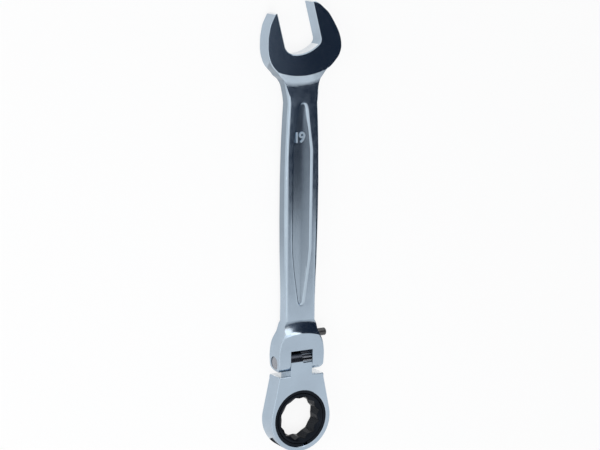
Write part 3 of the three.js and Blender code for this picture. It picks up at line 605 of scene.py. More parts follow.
def tint(tree, noise, socket, colour, low, high):
    """Leads a noise to shades of a colour between low and high times its value."""
    ramp = add_node(tree, "ShaderNodeValToRGB")
    ramp.color_ramp.elements[0].position = 0.3
    ramp.color_ramp.elements[1].position = 0.7
    ramp.color_ramp.elements[0].color = (*[min(channel * low, 1) for channel in colour], 1)
    ramp.color_ramp.elements[1].color = (*[min(channel * high, 1) for channel in colour], 1)
    tree.links.new(noise.outputs["Fac"], ramp.inputs["Fac"])
    tree.links.new(ramp.outputs["Color"], socket)


def bump(tree, shader, noise, strength, distance):
    node = add_node(tree, "ShaderNodeBump")
    node.inputs["Strength"].default_value = strength
    node.inputs["Distance"].default_value = distance
    tree.links.new(noise.outputs["Fac"], node.inputs["Height"])
    tree.links.new(node.outputs["Normal"], shader.inputs["Normal"])


EVEN = (1, 1, 1)
# Each metal: its colour, its roughness and how much that varies, the scale and strength of its grain, its
# darkest and lightest shade, and how its grain is stretched. sunk_satin is the panel's floor, marked_chrome
# the raised size mark. The nearly black one paints shade on the tongue's roll and notches, the lighter
# ground one gives the slope of the open end its grain and a painted sheen, and the near-white one paints
# light on faces that look towards +X.
METALS = {
    "satin_chrome": ("satin", 0.15, 0.025, 4200, 0.05, (0.94, 1.06), EVEN),
    "sunk_satin": ("satin", 0.18, 0.01, 3600, 0.06, (0.84, 0.88), EVEN),
    "marked_chrome": ("satin", 0.5, 0.05, 3600, 0.15, (0.94, 1.06), EVEN),
    "slot_steel": ("roll", 0.18, 0.03, 1800, 0.04, (0.85, 1.15), (1, 3, 1)),
    "ground_chrome": ("ground", 0.2, 0.03, 3600, 0.06, (0.95, 1.05), (1, 5, 1)),
    "bright_chrome": ("bright", 0.22, 0.04, 3000, 0.05, (0.94, 1.06), EVEN),
    "polished_chrome": ("polished", 0.1, 0.01, 900, 0.02, (0.97, 1.03), (1, 4, 1)),
    "pin_steel": ("pin", 0.4, 0.08, 3500, 0.4, (0.8, 1.15), EVEN),
    "bronzed_steel": ("bronze", 0.32, 0.08, 3500, 0.3, (0.7, 1.5), EVEN),
    "tool_steel": ("tool", 0.38, 0.08, 3500, 0.3, (0.85, 1.1), EVEN),
    "spring_steel": ("spring", 0.28, 0.05, 3500, 0.2, (0.9, 1.1), EVEN),
}


def metal(name, colours):
    """Steel with cloudy shades, uneven shine and a fine grain."""
    colour_name, shine, shine_spread, grain_scale, grain_strength, shades, stretch = METALS[name]
    material, tree, shader = new_material(name)
    shader.inputs["Metallic"].default_value = 1.0
    cloud = grain(tree, 55, 4)
    tint(tree, cloud, shader.inputs["Base Color"], getattr(colours, colour_name), *shades)
    patches = grain(tree, 260, 5, 0.6, stretch)
    spread_to(tree, patches, shader.inputs["Roughness"], shine - shine_spread, shine + shine_spread)
    fine = grain(tree, grain_scale, 3, 0.6, stretch)
    bump(tree, shader, fine, grain_strength, 0.00003)
    return material


def black_phosphate(colours):
    material, tree, shader = new_material("black_phosphate")
    shader.inputs["Metallic"].default_value = 0.0
    shader.inputs["Specular IOR Level"].default_value = 0.12
    shader.inputs["Specular Tint"].default_value = (0.6, 0.78, 1, 1)
    cloud = grain(tree, 120, 4)
    tint(tree, cloud, shader.inputs["Base Color"], colours.black, 0.7, 1.5)
    patches = grain(tree, 500, 5, 0.6)
    spread_to(tree, patches, shader.inputs["Roughness"], 0.22, 0.36)
    bump(tree, shader, grain(tree, 5200, 3), 0.3, 0.00002)
    return material


# Handle


def shank_foot_x(sizes):
    return pivot.x + sizes.pad_length + (sizes.clevis_half - sizes.shank_half) / 2


def neck_x(sizes):
    return shank_foot_x(sizes) + sizes.shank_length


def jaw_x(sizes):
    return neck_x(sizes) + sizes.neck_length


def shank_piece(sizes):
    """The shank with rounded shoulders, from inside the clevis to inside the open end."""
    side = side_line(SHANK_SIDE_SHARES, shank_foot_x(sizes), sizes.shank_length, sizes.shank_width / 2, 60)
    inside = sizes.jaw_radius * 0.9995
    left = side + side_line(NECK_LEFT_SHARES, neck_x(sizes), sizes.neck_length, inside, 36)[1:]
    right = side + side_line(NECK_RIGHT_SHARES, neck_x(sizes), sizes.neck_length, inside, 36)[1:]
    edge = rounded(sizes.shoulder_run, sizes.shank_half - sizes.edge_half, 6)
    return even_plate("shank", between(left, right), sizes.shank_half, edge)


def clevis_piece(sizes):
    """The clevis block, rounded about the pivot, flat on its pads and hollowed towards the shank."""
    drop = sizes.clevis_half - sizes.shank_half
    run = math.sqrt(2 * sizes.hollow_radius * drop - drop * drop)
    pad_end = pivot.x + sizes.pad_length
    ear_end = pivot.x - sizes.clevis_half
    side = side_line(CLEVIS_SIDE_SHARES, ear_end, pad_end + run - ear_end, sizes.clevis_width / 2, 60)
    edge = rounded(sizes.clevis_edge, sizes.clevis_edge, 4)
    body = even_plate("clevis", between(side, side), sizes.clevis_half, edge)

    end = pad_end + run + OVER
    half = sizes.clevis_half
    outline = [(end, -half - MM), (end, half + MM), (pivot.x, half + MM)]
    outline += arc((pivot.x, 0), half, 90, 270, 48) + [(pivot.x, -half - MM)]
    round_end = plate("round_end", outline, -sizes.clevis_width, sizes.clevis_width)
    turn(round_end, 90, "X")
    face_outwards(round_end)
    combine(body, round_end, "INTERSECT")

    hollow = []
    steps = 14
    for step in range(steps + 1):
        left = (1 - step / steps) * run * 1.2
        rise = sizes.hollow_radius - math.sqrt(sizes.hollow_radius**2 - left**2)
        hollow.append((sizes.pad_arc_radius + run - left, sizes.shank_half + rise))
    top = hollow[0][1]
    profile = [(0, -top)] + [(radius, -height) for radius, height in hollow]
    profile += [(radius, height) for radius, height in reversed(hollow)] + [(0, top)]
    spun = turned("hollow", profile, 160)
    move(spun, pad_end - sizes.pad_arc_radius)
    return combine(body, spun, "INTERSECT")


def drawn_in(line, sizes):
    """A side line that starts inside the rounded shoulder and reaches the rim further on."""
    start = line[0][0]
    return [(x, y - sizes.shoulder_run * max(0, 1 - (x - start) / sizes.neck_blend)) for x, y in line]


def open_end_piece(sizes):
    """The open end: a plate and its neck, with a soft slope towards the shank."""
    rim = side_line(JAW_RIM_SHARES, jaw_x(sizes), sizes.jaw_radius, sizes.jaw_radius, 96)
    edge = rounded(sizes.jaw_edge, sizes.jaw_edge, 3)
    body = even_plate("open_end", list(reversed(rim)), sizes.jaw_half, edge)
    left, right = (
        drawn_in(side_line(shares, neck_x(sizes), sizes.neck_length, sizes.jaw_radius, 36), sizes)
        for shares in (NECK_LEFT_SHARES, NECK_RIGHT_SHARES)
    )
    neck = even_plate("neck", between(left, right), sizes.jaw_half, edge)
    combine(body, neck, "UNION")

    slope = math.atan2(sizes.bevel_drop, sizes.bevel_run)
    drop = sizes.jaw_half - sizes.shank_half
    foot = sizes.face_arc_radius + drop / math.tan(slope)
    radius = sizes.bevel_foot_radius
    reach = radius * math.tan(slope / 2)
    curve = []
    for step in range(9):
        angle = slope * (1 - step / 8)
        rise = radius * (1 - math.cos(angle))
        curve.append((foot + reach - radius * math.sin(angle), sizes.shank_half + rise))
    end = foot + reach + 3 * MM
    low = sizes.shank_half - 0.05 * MM
    upper = [(sizes.face_arc_radius, sizes.jaw_half)] + curve + [(end, low)]
    profile = [(0, -sizes.jaw_half - MM), (sizes.face_arc_radius, -sizes.jaw_half - MM)]
    profile += [(r, -h) for r, h in upper] + [(r, h) for r, h in reversed(upper)]
    profile += [(sizes.face_arc_radius, sizes.jaw_half + MM), (0, sizes.jaw_half + MM)]
    spun = turned("slope", profile, 240)
    move(spun, jaw_x(sizes) - sizes.face_arc_reach + sizes.face_arc_radius, sizes.face_arc_shift)
    return combine(body, spun, "INTERSECT")


def throat_outline(sizes):
    """Two flats, a hollow bottom between them and a rounded corner on each side."""
    half = sizes.jaw_flats / 2
    middle = sizes.throat_radius - sizes.throat_bottom
    reach = sizes.jaw_radius + OVER
    corners = []
    for radius in (sizes.throat_left, sizes.throat_right):
        across = half - radius
        back = math.sqrt((sizes.throat_radius - radius) ** 2 - across**2)
        corners.append((middle - back, across, radius, math.degrees(math.atan2(across, -back))))
    (left_x, left_y, left, left_end), (right_x, right_y, right, right_end) = corners
    points = [(reach, -half), (reach, half)]
    points += arc((left_x, left_y), left, 90, left_end, 12)
    points += arc((middle, 0), sizes.throat_radius, left_end, 360 - right_end, 20)[1:-1]
    points += arc((right_x, -right_y), right, 360 - right_end, 270, 12)
    return points


def at_jaw(obj, sizes):
    turn(obj, JAW_LEAN, "Z")
    move(obj, jaw_x(sizes), sizes.jaw_side_shift)
    return obj


def cut_throat(body, sizes):
    """The throat with its broken rims, and the cut-off tips."""
    level = sizes.jaw_half - sizes.jaw_edge
    flare = [(-sizes.jaw_edge, sizes.jaw_edge), (0, OVER)]
    throat = plate("throat", throat_outline(sizes), -level, level, flare, flare)
    combine(body, at_jaw(throat, sizes), "DIFFERENCE")
    reach = math.sqrt(sizes.jaw_radius**2 - (sizes.jaw_flats / 2) ** 2) - sizes.tip_break / 2
    tips = block("tips", (reach, -THROUGH, -THROUGH), (reach + THROUGH, THROUGH, THROUGH))
    return combine(body, at_jaw(tips, sizes), "DIFFERENCE")


def cut_panels(body, sizes):
    """The sunk panel on both faces, with its coved wall."""
    reach = sizes.panel_length - 2 * sizes.panel_wall
    start = neck_x(sizes) + sizes.panel_from_neck - sizes.panel_length + sizes.panel_wall
    half = sizes.panel_width / 2 - sizes.panel_wall
    side = side_line(PANEL_SIDE_SHARES, start, reach, half, 80)
    rim = grown(between(side, side), sizes.panel_wall)
    steps = [(run * sizes.panel_wall, depth * sizes.panel_depth) for run, depth in PANEL_WALL_SHARES]
    high = sizes.shank_half
    floor = grown(rim, -sizes.panel_wall)
    above = plate("panel", rim, high, high + OVER, None, steps)
    sink_middle(above, floor, high - sizes.panel_depth, -1, sizes.panel_trough)
    combine(body, above, "DIFFERENCE")
    below = plate("panel_back", rim, -high - OVER, -high, steps, None)
    sink_middle(below, floor, sizes.panel_depth - high, 1, sizes.panel_trough)
    return combine(body, below, "DIFFERENCE")


def cut_clevis(body, sizes, lock):
    """The slot, the pin's bore and the two bores of the lock."""
    floor = pivot.x + sizes.clevis_half + sizes.slot_floor_gap
    half = sizes.slot_width / 2
    slot = block("slot", (pivot.x - THROUGH, -half, -THROUGH), (floor, half, THROUGH))
    combine(body, slot, "DIFFERENCE")
    bore(body, "pin_bore", lock.pin_radius + lock.pin_ear_gap, -THROUGH, THROUGH, "Y", pivot.x)
    end = floor + lock.plunger_bore
    radius = lock.plunger_radius + lock.clearance
    bore(body, "plunger_bore", radius, pivot.x, end, "X", 0, -lock.plunger_shift)
    return bore(body, "rod_bore", lock.rod_radius + lock.clearance, -THROUGH, lock.rod_bore_end, "Y", rod_x)


def crisp_rim(body, wanted):
    """Keeps the rim of the faces for which wanted(centre, normal) is true sharp."""
    edit_faces(body, wanted)
    bpy.ops.mesh.region_to_loop()
    bpy.ops.mesh.mark_sharp()
    leave_edit()


def add_metals(body, colours, *names):
    """Gives a piece its finishes. Its faces take the first one."""
    for name in names:
        body.data.materials.append(metal(name, colours))


def finish_faces(body, slot, wanted):
    """Gives the faces for which wanted(centre, normal) is true the finish with that number."""
    edit_faces(body, wanted)
    bpy.context.object.active_material_index = slot
    bpy.ops.object.material_slot_assign()
    leave_edit()


class WRENCH_OT_handle(bpy.types.Operator):
    """Models the forged handle with its open end, shank and clevis"""

    bl_idname = "wrench.handle"
    bl_label = "Handle"

    def execute(self, context):
        sizes = context.scene.wrench_handle
        lock = context.scene.wrench_lock
        colours = context.scene.wrench_colours
        body = shank_piece(sizes)
        combine(body, clevis_piece(sizes), "UNION")
        combine(body, open_end_piece(sizes), "UNION")
        cut_panels(body, sizes)
        cut_throat(body, sizes)
        cut_clevis(body, sizes, lock)
        tidy(body, 0.5)
        soften(body, sizes.edge_break, 50, 2)
        # The fourth finish is painted light, and the fifth a ground finish with a painted sheen
        names = ("satin_chrome", "polished_chrome", "sunk_satin", "bright_chrome", "ground_chrome")
        add_metals(body, colours, *names)
        self.polish(body, sizes)
        finished(body, "handle_forging", "handle", "wrench_handle", None)
        return {"FINISHED"}

    def polish(self, body, sizes):
        """Gives the polished and sunk faces their own finish, the slope a ground finish with a painted sheen,
        and the throat's bottom painted light. c is a centre, n a normal.
        """
        polished, sunk, bright, ground = range(1, 5)
        level = sizes.jaw_half - 1.05 * sizes.jaw_edge
        neck = neck_x(sizes)
        slope = neck + 4 * MM
        ring = neck + 20 * MM
        pads = pivot.x + sizes.pad_length
        pad_level = sizes.clevis_half - 0.1 * MM
        foot = shank_foot_x(sizes) + 7 * MM
        floor = sizes.shank_half - sizes.panel_depth + 0.02 * MM

        def jaw_face(c, n):
            return abs(n.z) > LEVEL and abs(c.z) > level and c.x > neck

        def pad(c, n):
            return abs(n.z) > LEVEL and abs(c.z) > pad_level and c.x < pads

        def right_edge(c, n):
            return n.y < -0.2 and 0.3 < abs(n.z) < LEVEL and abs(c.z) > level and c.x > neck + 12 * MM

        def hollow(c, n):
            return pads < c.x < foot and n.x > 0.1 and abs(n.z) > 0.7 and abs(c.z) < sizes.clevis_half

        def panel_floor(c, n):
            return abs(n.z) > 0.99 and abs(c.z) < floor and foot < c.x < slope

        def jaw_slope(c, n):
            return n.x < -0.05 and 0.9 < abs(n.z) < 0.997 and slope < c.x < ring

        def throat_bottom(c, n):
            return c.x > ring and n.x > 0.75 and abs(n.z) < 0.3

        finish_faces(body, polished, jaw_face)
        crisp_rim(body, jaw_face)
        crisp_rim(body, pad)
        finish_faces(body, polished, right_edge)
        finish_faces(body, polished, hollow)
        finish_faces(body, sunk, panel_floor)
        # The slope below the flat faces: a ground finish with a painted sheen
        finish_faces(body, ground, jaw_slope)
        # Painted light: the throat's bottom takes the near-white finish
        finish_faces(body, bright, throat_bottom)


# Head and what turns in it


def head_outline(sizes):
    """The ring with straight flanks up to the shoulder beside the tongue."""
    half = sizes.shoulder_width / 2
    corner = sizes.shoulder_corner
    end = sizes.shoulder_x
    flank = end - 2 * corner
    angle = math.atan2(half, flank) + math.acos(sizes.ring_radius / math.hypot(flank, half))
    degrees = math.degrees(angle)
    points = arc((0, 0), sizes.ring_radius, degrees, 360 - degrees, 120)
    points += [(flank, -half)] + arc((end - corner, corner - half), corner, 270, 360, 6)
    points += arc((end - corner, half - corner), corner, 0, 90, 6) + [(flank, half)]
    return points


def tongue_outline(sizes, toothed):
    """The tongue seen from the side, round about the pivot, with or without its lock teeth."""
    half = sizes.head_half
    start = sizes.shoulder_x - OVER
    points = [(start, half), (start, -half)]
    if not toothed:
        return points + arc((pivot.x, 0), half, -90, 90, 48)
    for count in range(-LOCK_NOTCHES, LOCK_NOTCHES + 1):
        for offset, share in LOCK_NOTCH:
            degrees = LOCK_PITCH * count + offset
            angle = math.radians(degrees)
            reach = (half - share * sizes.tongue_tooth) / (abs(math.sin(angle)) if abs(degrees) > 90 else 1)
            points.append((pivot.x + reach * math.cos(angle), reach * math.sin(angle)))
    return points


def tongue_piece(sizes):
    half = sizes.tongue_width / 2
    split = half - LOCK_SHARE * sizes.tongue_width
    broken = sizes.tongue_edge
    edge = rounded(broken, broken, 2)
    smooth = plate("tongue", tongue_outline(sizes, False), broken - half, split, None, edge)
    teeth = plate("tongue_teeth", tongue_outline(sizes, True), split - 0.1 * MM, half - broken, edge, None)
    combine(smooth, teeth, "UNION")
    turn(smooth, 90, "X")
    face_outwards(smooth)
    return smooth


def cut_head(body, sizes, lock):
    """The gear's chamber with its lip and groove, the pin's bore, and the pawl's pocket."""
    half = sizes.head_half
    gap = sizes.ring_clearance
    top = half - sizes.ring_recess + gap
    bottom = half - sizes.ring_recess - sizes.ring_thickness - gap
    groove = sizes.bore_radius + sizes.groove_depth
    lip = sizes.lip_thickness - half
    rim = sizes.bore_rim
    chamber = [
        (0, -THROUGH), (sizes.lip_radius, -THROUGH), (sizes.lip_radius, lip), (sizes.bore_radius, lip),
        (sizes.bore_radius, bottom), (groove, bottom), (groove, top), (sizes.bore_radius, top),
        (sizes.bore_radius, half - rim), (sizes.bore_radius + rim + MM, half + MM), (0, half + MM),
    ]
    combine(body, turned("chamber", chamber, 144), "DIFFERENCE")
    bore(body, "pin_bore", lock.pin_radius + lock.clearance, -THROUGH, THROUGH, "Y", pivot.x)
    high = sizes.pocket_half
    low_corner = (sizes.pocket_start, -sizes.pocket_gap, -high)
    pocket = block("pocket", low_corner, (sizes.pocket_end, sizes.pocket_reach, high))
    turn(pocket, POCKET_TURN, "Z")
    combine(body, pocket, "DIFFERENCE")
    seat = bar("spring_chamber", sizes.chamber_radius, sizes.chamber_start, sizes.chamber_end, "Y", 32)
    move(seat, sizes.chamber_x)
    turn(seat, POCKET_TURN, "Z")
    return combine(body, seat, "DIFFERENCE")


class WRENCH_OT_head(bpy.types.Operator):
    """Models the ratchet head with its ring, its shoulder and its toothed tongue"""

    bl_idname = "wrench.head"
    bl_label = "Ratchet head"

    def execute(self, context):
        sizes = context.scene.wrench_head
        edge = rounded(sizes.head_edge, sizes.head_edge, 4)
        body = even_plate("head", head_outline(sizes), sizes.head_half, edge)
        combine(body, tongue_piece(sizes), "UNION")
        cut_head(body, sizes, context.scene.wrench_lock)
        tidy(body, 0.5)
        colours = context.scene.wrench_colours
        # The second of these finishes is painted shade for the tongue's slot, and the third is painted light
        # for the shoulder walls
        add_metals(body, colours, "satin_chrome", "slot_steel", "bright_chrome", "tool_steel")
        self.polish(body, sizes)
        finished(body, "head_forging", "head", "ratchet_head", None)
        return {"FINISHED"}

    def polish(self, body, sizes):
        """Gives the tongue's roll and notches a nearly black painted shade, the lands of its teeth a rougher,
        darker steel that is partly painted shade, and the shoulder walls painted light, from centre and
        normal.
        """
        painted_shade_slot, bright, steel = range(1, 4)
        roll = pivot.x + 0.3 * MM
        wall_end = roll - 2 * MM
        shoulder = sizes.shoulder_x - sizes.shoulder_corner
        inside = sizes.tongue_width / 2
        teeth = (LOCK_SHARE - 0.5) * sizes.tongue_width
        flat = sizes.head_half - 0.1 * MM
        land = sizes.head_half - 0.08 * MM

        def smooth_roll(c, n):
            return c.x > roll and c.y > teeth and (n.x > 0.05 or abs(c.z) < flat)

        def notch(c, n):
            return c.x > pivot.x and c.y < teeth and abs(n.y) < 0.5

        def tooth_top(c, n):
            return c.x > pivot.x and c.y < teeth and math.hypot(c.x - pivot.x, c.z) > land and n.z > 0.4

        def shoulder_wall(c, n):
            return n.x > 0.8 and shoulder < c.x < wall_end and abs(c.y) > inside

        # Painted shade: the roll and the notches take the nearly black finish
        finish_faces(body, painted_shade_slot, smooth_roll)
        finish_faces(body, painted_shade_slot, notch)
        # The lands of the teeth take the rougher tool steel, whose darker colour is partly painted shade from
        # the slot
        finish_faces(body, steel, tooth_top)
        # Painted light: the shoulder walls take the near-white finish
        finish_faces(body, bright, shoulder_wall)


def toothed_outline(sizes):
    pitch = 360 / sizes.gear_teeth
    points = []
    for tooth in range(sizes.gear_teeth):
        for along, depth in GEAR_TOOTH:
            points += arc((0, 0), sizes.gear_radius - depth * sizes.gear_tooth, pitch * (tooth + along), 0, 0)
    return points


def twelve_point_outline(sizes):
    """Two hexagons laid over each other."""
    half = sizes.bore_flats / 2
    points = []
    for corner in range(24):
        reach = half / math.cos(math.pi / 6 if corner % 2 == 0 else math.pi / 12)
        points += arc((0, 0), reach, 15 * (corner + 1), 0, 0)
    return points


class WRENCH_OT_gear(bpy.types.Operator):
    """Models the black ratchet gear with its twelve-point bore"""

    bl_idname = "wrench.gear"
    bl_label = "Ratchet gear"

    def execute(self, context):
        sizes = context.scene.wrench_head
        half = sizes.head_half
        top = half - sizes.ring_recess - sizes.ring_thickness - sizes.gear_drop
        bottom = sizes.lip_thickness - half + sizes.gear_lift
        body = plate("gear", toothed_outline(sizes), bottom, top)
        face = half - sizes.gear_recess
        rim = rounded(sizes.gear_rim, sizes.gear_rim, 3)
        neck = even_plate("gear_neck", arc((0, 0), sizes.gear_neck, 0, 357.5, 143), face, rim)
        combine(body, neck, "UNION")
        combine(body, plate("bore", twelve_point_outline(sizes), -2 * half, 2 * half), "DIFFERENCE")
        corner = sizes.bore_flats / 2 / math.cos(math.pi / 6) + sizes.mouth_flare
        throat = sizes.bore_flats / 2 - sizes.mouth_flare
        outside = corner + (corner - throat) / sizes.mouth_depth * MM
        low = face - sizes.mouth_depth
        profile = [(0, low), (throat, low), (outside, face + MM), (0, face + MM)]
        combine(body, turned("mouth", profile, 144), "DIFFERENCE")
        profile = [(radius, -height) for radius, height in reversed(profile)]
        combine(body, turned("mouth_back", profile, 144), "DIFFERENCE")
        tidy(body, 0.5)
        soften(body, sizes.gear_edge, 50, 1)
        material = black_phosphate(context.scene.wrench_colours)
        finished(body, "gear_body", "gear", "ratchet_gear", material, 25)
        return {"FINISHED"}


class WRENCH_OT_retaining_ring(bpy.types.Operator):
    """Models the split retaining ring round the gear"""

    bl_idname = "wrench.retaining_ring"
    bl_label = "Retaining ring"

    def execute(self, context):
        sizes = context.scene.wrench_head
        outer = sizes.bore_radius + sizes.groove_depth - sizes.ring_clearance
        inner = sizes.gear_neck + sizes.ring_gap
        half = math.degrees(sizes.ring_split / 2 / sizes.bore_radius)
        points = arc((0, 0), outer, half, 360 - half, 140) + arc((0, 0), inner, 360 - half, half, 140)
        top = sizes.head_half - sizes.ring_recess
        low = top - sizes.ring_thickness
        edge = rounded(sizes.ring_edge, sizes.ring_edge, 2)
        body = plate("ring", points, low + sizes.ring_edge, top - sizes.ring_edge, edge, edge)
        turn(body, SPLIT_TURN, "Z")
        material = black_phosphate(context.scene.wrench_colours)
        finished(body, "ring_spring", "head", "retaining_ring", material)
        return {"FINISHED"}


# Pin, lock and springs


def even_profile(end, corners):
    """A profile with the same shape at both ends. corners are radius and distance from the end."""
    upper = [(radius, end - inset) for radius, inset in corners]
    return [(radius, -height) for radius, height in upper] + list(reversed(upper))


class WRENCH_OT_pin(bpy.types.Operator):
    """Models the pivot pin with its dished ends"""

    bl_idname = "wrench.pin"
    bl_label = "Pivot pin"

    def execute(self, context):
        sizes = context.scene.wrench_lock
        end = context.scene.wrench_handle.clevis_width / 2 - sizes.pin_recess
        radius = sizes.pin_radius
        corners = [
            (0, 0.3 * MM), (0.55 * radius, 0.24 * MM), (0.74 * radius, 0.08 * MM), (0.8 * radius, 0),
            (radius - 0.3 * MM, 0), (radius - 0.09 * MM, 0.09 * MM), (radius, 0.3 * MM),
        ]
        body = turned("pin", even_profile(end, corners), 96, "Y")
        move(body, pivot.x)
        material = metal("pin_steel", context.scene.wrench_colours)
        finished(body, "pin_body", "handle", "pivot_pin", material)
        return {"FINISHED"}


class WRENCH_OT_lock(bpy.types.Operator):
    """Models the lock button with its cross rod, and the toothed plunger"""

    bl_idname = "wrench.lock"
    bl_label = "Lock button and plunger"

    def execute(self, context):
        sizes = context.scene.wrench_lock
        colours = context.scene.wrench_colours
        self.button(context.scene.wrench_handle, sizes, metal("bronzed_steel", colours))
        self.plunger(context.scene.wrench_head, sizes, metal("tool_steel", colours))
        return {"FINISHED"}

    def button(self, handle, sizes, material):
        outer = -handle.clevis_width / 2 - sizes.rod_proud
        radius = sizes.rod_radius
        groove = 1.5 * MM
        neck = groove - 0.8 * MM
        tail = -sizes.plunger_shift
        neck_start = tail - 4.1 * MM
        cone = tail + 0.25 * MM
        groove_end = cone + 0.5 * MM
        inner = sizes.rod_bore_end - sizes.spring_space
        edge = sizes.rod_edge
        broken = 0.35 * MM
        profile = [(0, outer)] + [
            (radius - edge + edge * math.sin(angle), outer + edge - edge * math.cos(angle))
            for angle in (0, 0.4, 0.8, 1.2, 1.571)
        ]
        profile += [
            (radius, neck_start), (neck, neck_start), (neck, cone - 2.6 * MM), (groove, cone),
            (groove, groove_end), (radius, groove_end), (radius, inner - broken), (radius - broken, inner),
            (0, inner),
        ]
        body = turned("button", profile, 72, "Y")
        move(body, rod_x)
        finished(body, "button_body", "button", "lock_button", material)

    def plunger(self, head, sizes, material):
        nose = pivot.x + head.head_half + sizes.plunger_gap
        end = rod_x - sizes.rod_radius - 1.1 * MM
        tip = rod_x - 1.65 * MM
        radius = sizes.plunger_radius
        tail = 1.2 * MM
        broken = 0.15 * MM
        profile = [
            (0, nose), (radius, nose), (radius, end - broken), (radius - broken, end), (tail, end),
            (tail, tip - 0.95 * MM), (0.25 * MM, tip), (0, tip),
        ]
        body = turned("plunger", profile, 72, "X")
        comb = []
        reach = head.head_half + sizes.plunger_gap
        for tooth in range(360 // LOCK_PITCH):
            for along, depth in LOCK_NOSE:
                comb += arc((0, 0), reach + depth * head.tongue_tooth, LOCK_PITCH * (tooth + along), 0, 0)
        cutter = plate("nose_teeth", comb, -5 * MM, 5 * MM)
        turn(cutter, 90, "X")
        face_outwards(cutter)
        move(cutter, pivot.x)
        combine(body, cutter, "DIFFERENCE")
        move(body, 0, -sizes.plunger_shift)
        finished(body, "plunger_body", "plunger", "lock_plunger", material)


class WRENCH_OT_hidden_pieces(bpy.types.Operator):
    """Finishes the pawl and the two springs, whose solids have their right shape"""

    bl_idname = "wrench.hidden_pieces"
    bl_label = "Pawl and springs"

    def execute(self, context):
        colours = context.scene.wrench_colours
        steel = metal("tool_steel", colours)
        spring = metal("spring_steel", colours)
        for name, material in (("pawl", steel), ("pawl_spring", spring), ("lock_spring", spring)):
            mesh = frame["nodes"][name].data
            mesh.materials.clear()
            mesh.materials.append(material)
        return {"FINISHED"}


# Size mark


class WRENCH_OT_size_mark(bpy.types.Operator):
    """Raises the plain size number on the floor of the sunk panel"""

    bl_idname = "wrench.size_mark"
    bl_label = "Size mark"

    def execute(self, context):
        sizes = context.scene.wrench_handle
        bpy.ops.object.select_all(action="DESELECT")
        bpy.ops.object.text_add(location=(0, 0, 0))
        text = bpy.context.object
        text.data.body = "19"
        text.data.align_x = "CENTER"
        text.data.align_y = "CENTER"
        text.data.size = sizes.mark_size
        text.data.space_character = 0.8
        text.data.extrude = sizes.mark_half
        text.data.bevel_depth = sizes.mark_edge
        text.data.bevel_resolution = 2
        bpy.ops.object.convert(target="MESH")
        mark = bpy.context.object
        turn(mark, -90, "Z")
        floor = sizes.shank_half - sizes.panel_depth
        move(mark, sizes.mark_x, sizes.mark_y, floor + sizes.mark_rise)
        material = metal("marked_chrome", context.scene.wrench_colours)
        finished(mark, "size_mark", "handle", None, material, 40)
        return {"FINISHED"}


# Stage


